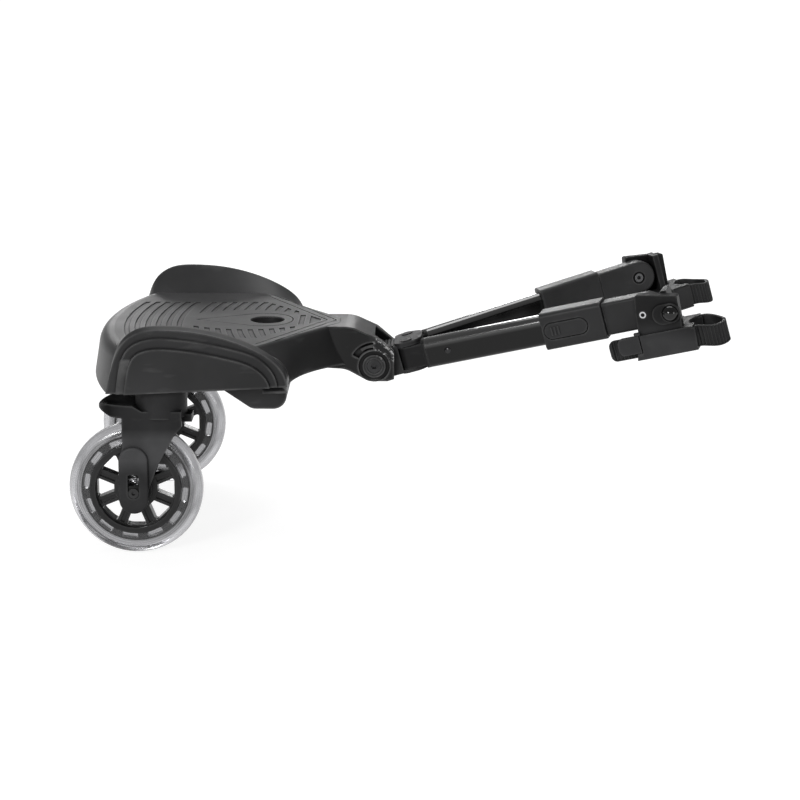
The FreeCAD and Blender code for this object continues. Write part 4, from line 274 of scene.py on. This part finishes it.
paints = {
    "deck_plastic": mouldedPaint({
        "name": "deckPlastic", "cloud": 14, "grain": 1500, "dark": 0.019, "light": 0.035, "rough": 0.4,
        "depth": 0.0002, "strength": 0.25, "soft": 0.0006, "specular": 0.22, "wearAndHighlight": 0.7, "patch": 38,
        "edge": 0.0022, "scuff": 26, "scuffShare": 0.16, "wornAndHighlight": 0.16, "hollowShade": 0.9, "hollowShadeReach": 0.003,
        "fades": ({"axis": "X", "start": -0.16, "end": -0.07, "low": 1.0, "high": 0.45},
                  {"axis": "X", "start": -0.07, "end": -0.045, "low": 1.0, "high": 0.45}),
        "chipsAndGlints": ({"at": (-0.008, -0.03, 0.172), "reach": 0.02, "scale": 420, "cut": 0.52, "edge": 0.003,
                   "level": 0.6},)}),
    "moulded_black": mouldedPaint({
        "name": "mouldedBlack", "cloud": 22, "grain": 1800, "dark": 0.012, "light": 0.018, "rough": 0.34,
        "depth": 0.0002, "strength": 0.2, "soft": 0.0005, "specular": 0.1, "wearAndHighlight": 0.4, "patch": 60,
        "edge": 0.002, "scuff": 45, "scuffShare": 0.08, "wornAndHighlight": 0.1, "hollowShade": 0.6, "hollowShadeReach": 0.008}),
    "fork_plastic": mouldedPaint({
        "name": "forkPlastic", "cloud": 30, "grain": 1800, "dark": 0.05, "light": 0.085, "rough": 0.42,
        "depth": 0.0002, "strength": 0.2, "soft": 0.0005, "specular": 0.09, "wearAndHighlight": 0.4, "patch": 60,
        "edge": 0.002, "scuff": 40, "scuffShare": 0.14, "wornAndHighlight": 0.12, "hollowShade": 0.6, "hollowShadeReach": 0.008,
        "fades": ({"axis": "Z", "start": 0.108, "end": 0.118, "low": 1.0, "high": 0.4},
                  {"axis": "X", "start": -0.256, "end": -0.246, "low": 0.1, "high": 1.0},
                  {"axis": "Z", "start": 0.078, "end": 0.09, "low": 0.5, "high": 1.0})}),
    "arm_plastic": mouldedPaint({
        "name": "armPlastic", "cloud": 26, "grain": 2000, "dark": 0.018, "light": 0.028, "rough": 0.42,
        "depth": 0.0002, "strength": 0.3, "soft": 0.0005, "specular": 0.2, "wearAndHighlight": 0.4, "patch": 70,
        "edge": 0.0018, "scuff": 55, "scuffShare": 0.07, "wornAndHighlight": 0.12, "hollowShade": 0.6, "hollowShadeReach": 0.005}),
    "connector_plastic": mouldedPaint({
        "name": "connectorPlastic", "cloud": 26, "grain": 2000, "dark": 0.036, "light": 0.052, "rough": 0.42,
        "depth": 0.0002, "strength": 0.3, "soft": 0.0006, "specular": 0.12, "wearAndHighlight": 0.45, "patch": 70,
        "edge": 0.0018, "scuff": 55, "scuffShare": 0.1, "wornAndHighlight": 0.12, "hollowShade": 0.6, "hollowShadeReach": 0.005,
        "fades": ({"axis": "Z", "start": 0.192, "end": 0.208, "low": 1.0, "high": 0.3},)}),
    "wheel_black": mouldedPaint({
        "name": "wheelBlack", "cloud": 25, "grain": 1800, "dark": 0.008, "light": 0.013, "rough": 0.3,
        "depth": 0.0002, "strength": 0.2, "soft": 0.0005, "specular": 0.3, "wearAndHighlight": 0.25, "patch": 60,
        "edge": 0.0015, "scuff": 45, "scuffShare": 0.04, "wornAndHighlight": 0.12}),
    "strap_rubber": mouldedPaint({
        "name": "strapRubber", "cloud": 30, "grain": 2200, "dark": 0.011, "light": 0.018, "rough": 0.46,
        "depth": 0.0002, "strength": 0.3, "soft": 0.0003, "specular": 0.24, "wearAndHighlight": 0.4, "patch": 90,
        "edge": 0.001, "scuff": 60, "scuffShare": 0.06, "wornAndHighlight": 0.1, "hollowShade": 0.8, "hollowShadeReach": 0.002}),
    "button_gloss": mouldedPaint({
        "name": "buttonGloss", "cloud": 20, "grain": 900, "dark": 0.002, "light": 0.004, "rough": 0.1,
        "depth": 0.0001, "strength": 0.03, "soft": 0.0004, "specular": 0.4}),
    "tube_black": mouldedPaint({
        "name": "tubeBlack", "cloud": 9, "grain": 2400, "dark": 0.002, "light": 0.004, "rough": 0.16,
        "depth": 0.0001, "strength": 0.04, "soft": 0.0006, "specular": 0.26, "wearAndHighlight": 0.2, "patch": 70,
        "edge": 0.001, "scuff": 50, "scuffShare": 0.03, "wornAndHighlight": 0.2, "hollowShade": 0.6, "hollowShadeReach": 0.004,
        "highlightCoat": {"at": (-0.0249, 0, 0.1505), "up": (-0.2622, 0, 0.965), "start": 0.003, "end": 0.009,
                   "rough": 0.12, "ior": 1.9}}),
    "bush_nylon": mouldedPaint({
        "name": "bushNylon", "cloud": 20, "grain": 900, "dark": 0.55, "light": 0.65, "rough": 0.45,
        "depth": 0.0001, "strength": 0.2, "soft": 0.0003, "specular": 0.4}),
    "steel": metalPaint({
        "name": "steel", "cloud": 90, "grain": 900, "level": 0.6, "metallic": 1.0, "rough": 0.28,
        "soft": 0.0003}),
    "dark_steel": metalPaint({
        "name": "darkSteel", "cloud": 90, "grain": 900, "level": 0.035, "metallic": 0.7, "rough": 0.22,
        "soft": 0.0004}),
    "tyre_clear": tyrePaint({
        "name": "tyreClear", "cloud": 18, "milk": (0.3, 0.7, 0.9, 1.1), "blue": 1.03, "scuff": 45,
        "scuffed": (0.4, 0.75), "rough": 0.08, "dull": 0.14, "ior": 1.45, "clear": 0.85,
        "soft": 0.0008, "axle": (-0.2351, 0, 0.06),
        "rings": ((0.0465, 0.0485, 0.36, 0.24), (0.0518, 0.0548, 0.0, 0.5), (0.0572, 0.058, 0.0, -0.06)),
        "fine": 0.0018, "fineShare": 0.07}),
}

# pieces whose finish differs from that of their slot, without the first word of their names
ownPaints = {
    "knuckle": "arm_plastic", "arm_sleeve": "arm_plastic", "sleeve_button": "arm_plastic",
    "arm_extension": "arm_plastic", "strap_lever": "connector_plastic", "connector": "connector_plastic",
    "caster_fork": "fork_plastic", "axle_screw": "dark_steel"}
slotOf = {row["node"]: row["material_slot"] for row in frame["record"]["subparts"]}
for name, piece in nodes.items():
    paintName = ownPaints.get(name.split("_", 1)[1], slotOf[name])
    piece.data.materials.clear()
    piece.data.materials.append(paints[paintName])
print("materials", len(paints))

millimetres = 1000  # in a metre
sharpAngle = 32  # degrees, above which an edge of a new piece is shaded sharp


def addPiece(name, points, faces, slot, body):
    mesh = bpy.data.meshes.new(name)
    mesh.from_pydata(points, [], faces)
    mesh.polygons.foreach_set("use_smooth", np.ones(len(mesh.polygons), dtype=bool))
    mesh.set_sharp_from_angle(angle=math.radians(sharpAngle))
    mesh.materials.append(paints[slot])
    piece = bpy.data.objects.new(name, mesh)
    bpy.context.scene.collection.objects.link(piece)
    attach(piece, body)
    return piece


def turn(axis, degrees):
    # rotation about the upright axis or the one across the part
    c, s = math.cos(math.radians(degrees)), math.sin(math.radians(degrees))
    if axis == "Y":
        return np.array(((c, 0, s), (0, 1, 0), (-s, 0, c)))
    return np.array(((c, -s, 0), (s, c, 0), (0, 0, 1)))


# millimetres and degrees; pin and joint are measured from the hinge and from the pin
arm = {"hinge": (-24.9, 0, 150.5), "pin": (34, 14, -2), "tilt": 15.2, "splay": 15.5, "joint": 228}


def fromJoint(points, side):
    # connector places (along the arm, outward, up) in millimetres to the frame in metres
    local = points * (1, side, 1) + (arm["joint"], 0, 0)
    tilted = turn("Y", -arm["tilt"])
    splayed = local @ turn("Z", arm["splay"] * side).T + np.array(arm["pin"]) * (1, side, 1)
    return (splayed @ tilted.T + arm["hinge"]) / millimetres


def gridFaces(rows, columns, flip):
    # quads between neighbouring rows, closed round the columns, with a flat face on each end
    row, column = np.meshgrid(np.arange(rows - 1), np.arange(columns), indexing="ij")
    after = (column + 1) % columns
    quads = np.stack((row * columns + column, row * columns + after,
                      (row + 1) * columns + after, (row + 1) * columns + column), 2).reshape(-1, 4)
    if flip:
        quads = quads[:, ::-1]
    start, end = np.arange(columns), np.arange(columns) + (rows - 1) * columns
    caps = [start.tolist(), end.tolist()[::-1]] if flip else [start.tolist()[::-1], end.tolist()]
    return quads.tolist() + caps


boltSteel = {"socket": 0.0017, "socketEdge": 0.0003, "dark": 0.01, "metallic": 0.9, "grain": 900,
             "gloss": (0.3, 0.7, 0.22, 0.4), "soft": 0.0003}
# painted light and shade: the ring is pale on the near bolt and dark on the far one
boltLitAndShadedLevels = {"left": 0.08, "right": 0.55}
for label, side in sides:
    # the bolt's axis runs outward through the joint
    ends = fromJoint(np.array(((0.0, 0, 0), (0, millimetres, 0))), side)
    bolt = nodes[label + "_joint_bolt"]
    bolt.data.materials.clear()
    bolt.data.materials.append(boltPaint({
        **boltSteel, "name": label + "BoltSteel", "at": tuple(ends[0]), "axis": tuple(ends[1] - ends[0]),
        "level": boltLitAndShadedLevels[label]}))
print("bolts")

# millimetres from the joint bolt; wave holds the slope, place and middle level of a tooth's flank,
# and the band is plain over a share of its first run and at the end of its tail
strap = {"middle": -2.5, "radius": 18, "thick": 3, "width": 19.5, "top": -18.8, "saddle": 48.5,
         "anchor": 20, "tail": -38, "tailRound": 5.5, "pitch": 3.3, "tooth": 0.85, "wave": (3.2, 0.2, 0.5),
         "soft": 0.6, "margin": 1.1, "lip": 0.05, "plainShare": 0.8, "plainTail": 3, "free": (43, 66),
         "sag": 4.5, "pitchSteps": 10, "cornerSteps": 4}


def strapPoints():
    # the line runs straight from the anchor, half round the tube and straight back to the tail;
    # teeth across the outer face are a trapezoid wave of the way along the line
    half, reach = strap["width"] / 2, strap["radius"]
    first = strap["saddle"] - strap["anchor"]
    bend = math.pi * reach
    whole = first + bend + strap["saddle"] - strap["tail"]
    way = np.linspace(0, whole, int(whole / strap["pitch"] * strap["pitchSteps"]))
    angle = np.clip((way - first) / reach, 0, math.pi) - math.pi / 2
    back = strap["saddle"] - np.maximum(way - first - bend, 0)
    along = np.where(way < first, strap["anchor"] + way, back)
    line = np.stack((along + reach * np.cos(angle) * (np.abs(angle) < math.pi / 2),
                     strap["middle"] + reach * np.sin(angle)), 1)
    out = np.stack((np.cos(angle), np.sin(angle)), 1)
    slope, flank, level = strap["wave"]
    wave = np.clip(slope * (np.abs((way / strap["pitch"]) % 1 - 0.5) - flank) + level, 0, 1)
    low = strap["tooth"] * wave * (way > first * strap["plainShare"]) * (way < whole - strap["plainTail"])
    # cross-section: a rounded flat bar, the toothed strip of its outer face set in from the edges
    thick, soft, edge = strap["thick"] / 2, strap["soft"], half - strap["margin"]
    corner = np.linspace(0, math.pi / 2, strap["cornerSteps"])
    sine, cosine = soft * np.sin(corner), soft * np.cos(corner)
    across = np.concatenate((
        (-edge, edge), half - soft + sine, half - soft + cosine,
        -half + soft - sine, -half + soft - cosine, (-edge - strap["lip"],)))
    rise = np.concatenate((
        (thick, thick), thick - soft + cosine, -thick + soft - sine,
        -thick + soft - cosine, thick - soft + sine, (thick,)))
    toothed = (np.abs(across) < edge + strap["lip"] / 2) & (rise > 0)
    # the tail narrows in a quarter circle
    left = np.clip((whole - way) / strap["tailRound"], 0, 1)
    narrow = 1 - strap["tailRound"] / half * (1 - np.sqrt(1 - (1 - left) ** 2))
    height = rise[None, :] - low[:, None] * toothed[None, :]
    flat = line[:, None, :] + out[:, None, :] * height[:, :, None]
    up = strap["top"] - half + across[None, :] * narrow[:, None]
    points = np.concatenate((flat, up[:, :, None]), 2)
    # past the block the soft loop sags straight down toward the nose
    start, end = strap["free"]
    share = np.clip((points[:, :, 0] - start) / (end - start), 0, 1)
    drop = strap["sag"] * share * share * (3 - 2 * share)
    points[:, :, 0] -= drop * math.sin(math.radians(arm["tilt"]))
    points[:, :, 2] -= drop * math.cos(math.radians(arm["tilt"]))
    return points


for label, side in sides:
    points = strapPoints()
    rows, columns = points.shape[:2]
    placed = fromJoint(points.reshape(-1, 3), side)
    piece = addPiece(label + "_ribbed_strap", placed.tolist(), gridFaces(rows, columns, side > 0),
                     "strap_rubber", label + "_connector")
    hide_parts(label + "_strap")
print("straps", rows, columns)

# millimetres; keep is the share of the height left when the axle is at its highest
spring = {"x": -235.1, "middle": 116.5, "apart": (97.93, 135.07), "low": 66.09, "high": 100.91,
          "radius": 2.8, "wire": 0.6, "turns": 6, "top": 101, "keep": 0.826, "turnSteps": 24, "wireSteps": 10}


def coilPoints(across):
    # a round wire wound about an upright line at an even pitch
    wire, turns = spring["wire"], spring["turns"]
    angle = np.linspace(0, math.tau * turns, turns * spring["turnSteps"] + 1)[:, None]
    height = np.linspace(spring["low"] + wire, spring["high"] - wire, len(angle))[:, None]
    around = np.linspace(0, math.tau, spring["wireSteps"], endpoint=False)
    reach = spring["radius"] + wire * np.cos(around)
    return np.stack((spring["x"] + reach * np.cos(angle), across + reach * np.sin(angle),
                     height + wire * np.sin(around)), 2)


for label, side in sides:
    points, faces = [], []
    for across in spring["apart"]:
        coil = coilPoints(across * side)
        rows, columns = coil.shape[:2]
        faces += [[index + len(points) for index in face] for face in gridFaces(rows, columns, True)]
        points += (coil.reshape(-1, 3) / millimetres).tolist()
    piece = addPiece(label + "_coil_springs", points, faces, "steel", label + "_fork")
    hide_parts(label + "_suspension_springs")
    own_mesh(piece)
print("springs", len(points))

lamps = (
    {"name": "topLamp", "at": (0.1, 0.48, 1.5), "to": (0, 0, 0.1), "size": (1.3, 1.0), "power": 13},
    {"name": "keyLamp", "at": (-1.1, -2.2, 0.9), "to": (0, 0, 0.12), "size": (0.6, 0.6), "power": 26},
    {"name": "fillLamp", "at": (1.7, -1.6, 0.6), "to": (0, 0, 0.12), "size": (0.6, 0.6), "power": 6},
    {"name": "backLampLeft", "at": (-0.75, 2.0, 0.75), "to": (-0.2, 0, 0.18), "size": (0.5, 0.4),
     "power": 3},
    {"name": "backLampRight", "at": (0.0, 2.0, 0.72), "to": (-0.1, 0, 0.18), "size": (0.3, 0.3),
     "power": 3})


def addLamp(lamp):
    data = bpy.data.lights.new(lamp["name"], "AREA")
    data.shape = "RECTANGLE"
    data.size, data.size_y = lamp["size"]
    data.energy = lamp["power"]
    item = bpy.data.objects.new(lamp["name"], data)
    item.location = lamp["at"]
    item.rotation_euler = (Vector(lamp["to"]) - Vector(lamp["at"])).to_track_quat("-Z", "Y").to_euler()
    bpy.context.scene.collection.objects.link(item)


def seenDirectly(paint, glossShare=1.0):
    # one for rays from the camera and through clear pieces, a share of it for rays from gloss
    camera, glossy, through = (paint.add("ShaderNodeLightPath", out=kind)
                               for kind in ("Is Camera Ray", "Is Glossy Ray", "Is Transmission Ray"))
    return camera.math("MAXIMUM", glossy * glossShare).math("MAXIMUM", through)


white = (1, 1, 1, 1)
sky = {"horizon": (0.02, 0.1), "light": 0.35, "seen": 0.65}
ground = {"reach": 40.0, "middle": (-0.1, 0.0, 0.0), "lit": 1.4, "nearGlow": 0.86, "farGlow": 0.12,
          "matt": (0.3, 0.3, 0.3, 1)}


def addSky():
    # white where it is seen, with gloss only near the horizon, and a plain even light otherwise
    world = bpy.data.worlds.new("studioWorld")
    bpy.context.scene.world = world
    world.use_nodes = True
    paint = Paint(world.node_tree, "ShaderNodeOutputWorld")
    toward = paint.add("ShaderNodeTexCoord", out="Generated")
    height = paint.add("ShaderNodeSeparateXYZ", {0: toward}, "Z")
    seen = seenDirectly(paint, paint.span(height, *sky["horizon"], 1.0, 0.0))
    paint.finish(paint.add("ShaderNodeBackground", {
        "Color": white, "Strength": seen * sky["seen"] + sky["light"]}))


def addFloor():
    # a lit floor near the part, which keeps its shadow, and a white glow that takes over further out
    reach = ground["reach"]
    mesh = bpy.data.meshes.new("floor")
    mesh.from_pydata([(-reach, -reach, 0), (reach, -reach, 0), (reach, reach, 0), (-reach, reach, 0)],
                     [], [(0, 1, 2, 3)])
    floor = bpy.data.objects.new("floor", mesh)
    bpy.context.scene.collection.objects.link(floor)
    material, paint = newPaint("floorPaint")
    far = 1 - paint.near(ground["middle"], ground["lit"])
    glow = paint.add("ShaderNodeEmission", {
        "Color": white, "Strength": seenDirectly(paint) * (far * ground["farGlow"] + ground["nearGlow"])})
    matt = paint.add("ShaderNodeBsdfDiffuse", {"Color": ground["matt"]})
    paint.finish(paint.add("ShaderNodeAddShader", {0: glow, 1: matt}))
    mesh.materials.append(material)


# degrees and metres, the sensor in millimetres and the lens in widths of the picture
view = {"azimuth": 1.25, "elevation": 13.96, "away": 2.465, "target": (-0.0017, 0, 0.1119), "sensor": 36,
        "lens": 2645 / 800, "clip": (0.05, 50)}


def photoCamera():
    azimuth = math.radians(view["azimuth"])
    elevation = math.radians(view["elevation"])
    toward = Vector((-math.sin(azimuth) * math.cos(elevation), math.cos(azimuth) * math.cos(elevation),
                     -math.sin(elevation)))
    data = bpy.data.cameras.new("photoCamera")
    data.sensor_width = view["sensor"]
    data.lens = view["lens"] * view["sensor"]
    data.clip_start, data.clip_end = view["clip"]
    camera = bpy.data.objects.new("photoCamera", data)
    camera.location = Vector(view["target"]) - toward * view["away"]
    camera.rotation_euler = toward.to_track_quat("-Z", "Y").to_euler()
    bpy.context.scene.collection.objects.link(camera)
    bpy.context.scene.camera = camera


addSky()
addFloor()
for lamp in lamps:
    addLamp(lamp)
photoCamera()
bpy.context.scene.view_settings.view_transform = "Standard"
print("studio")
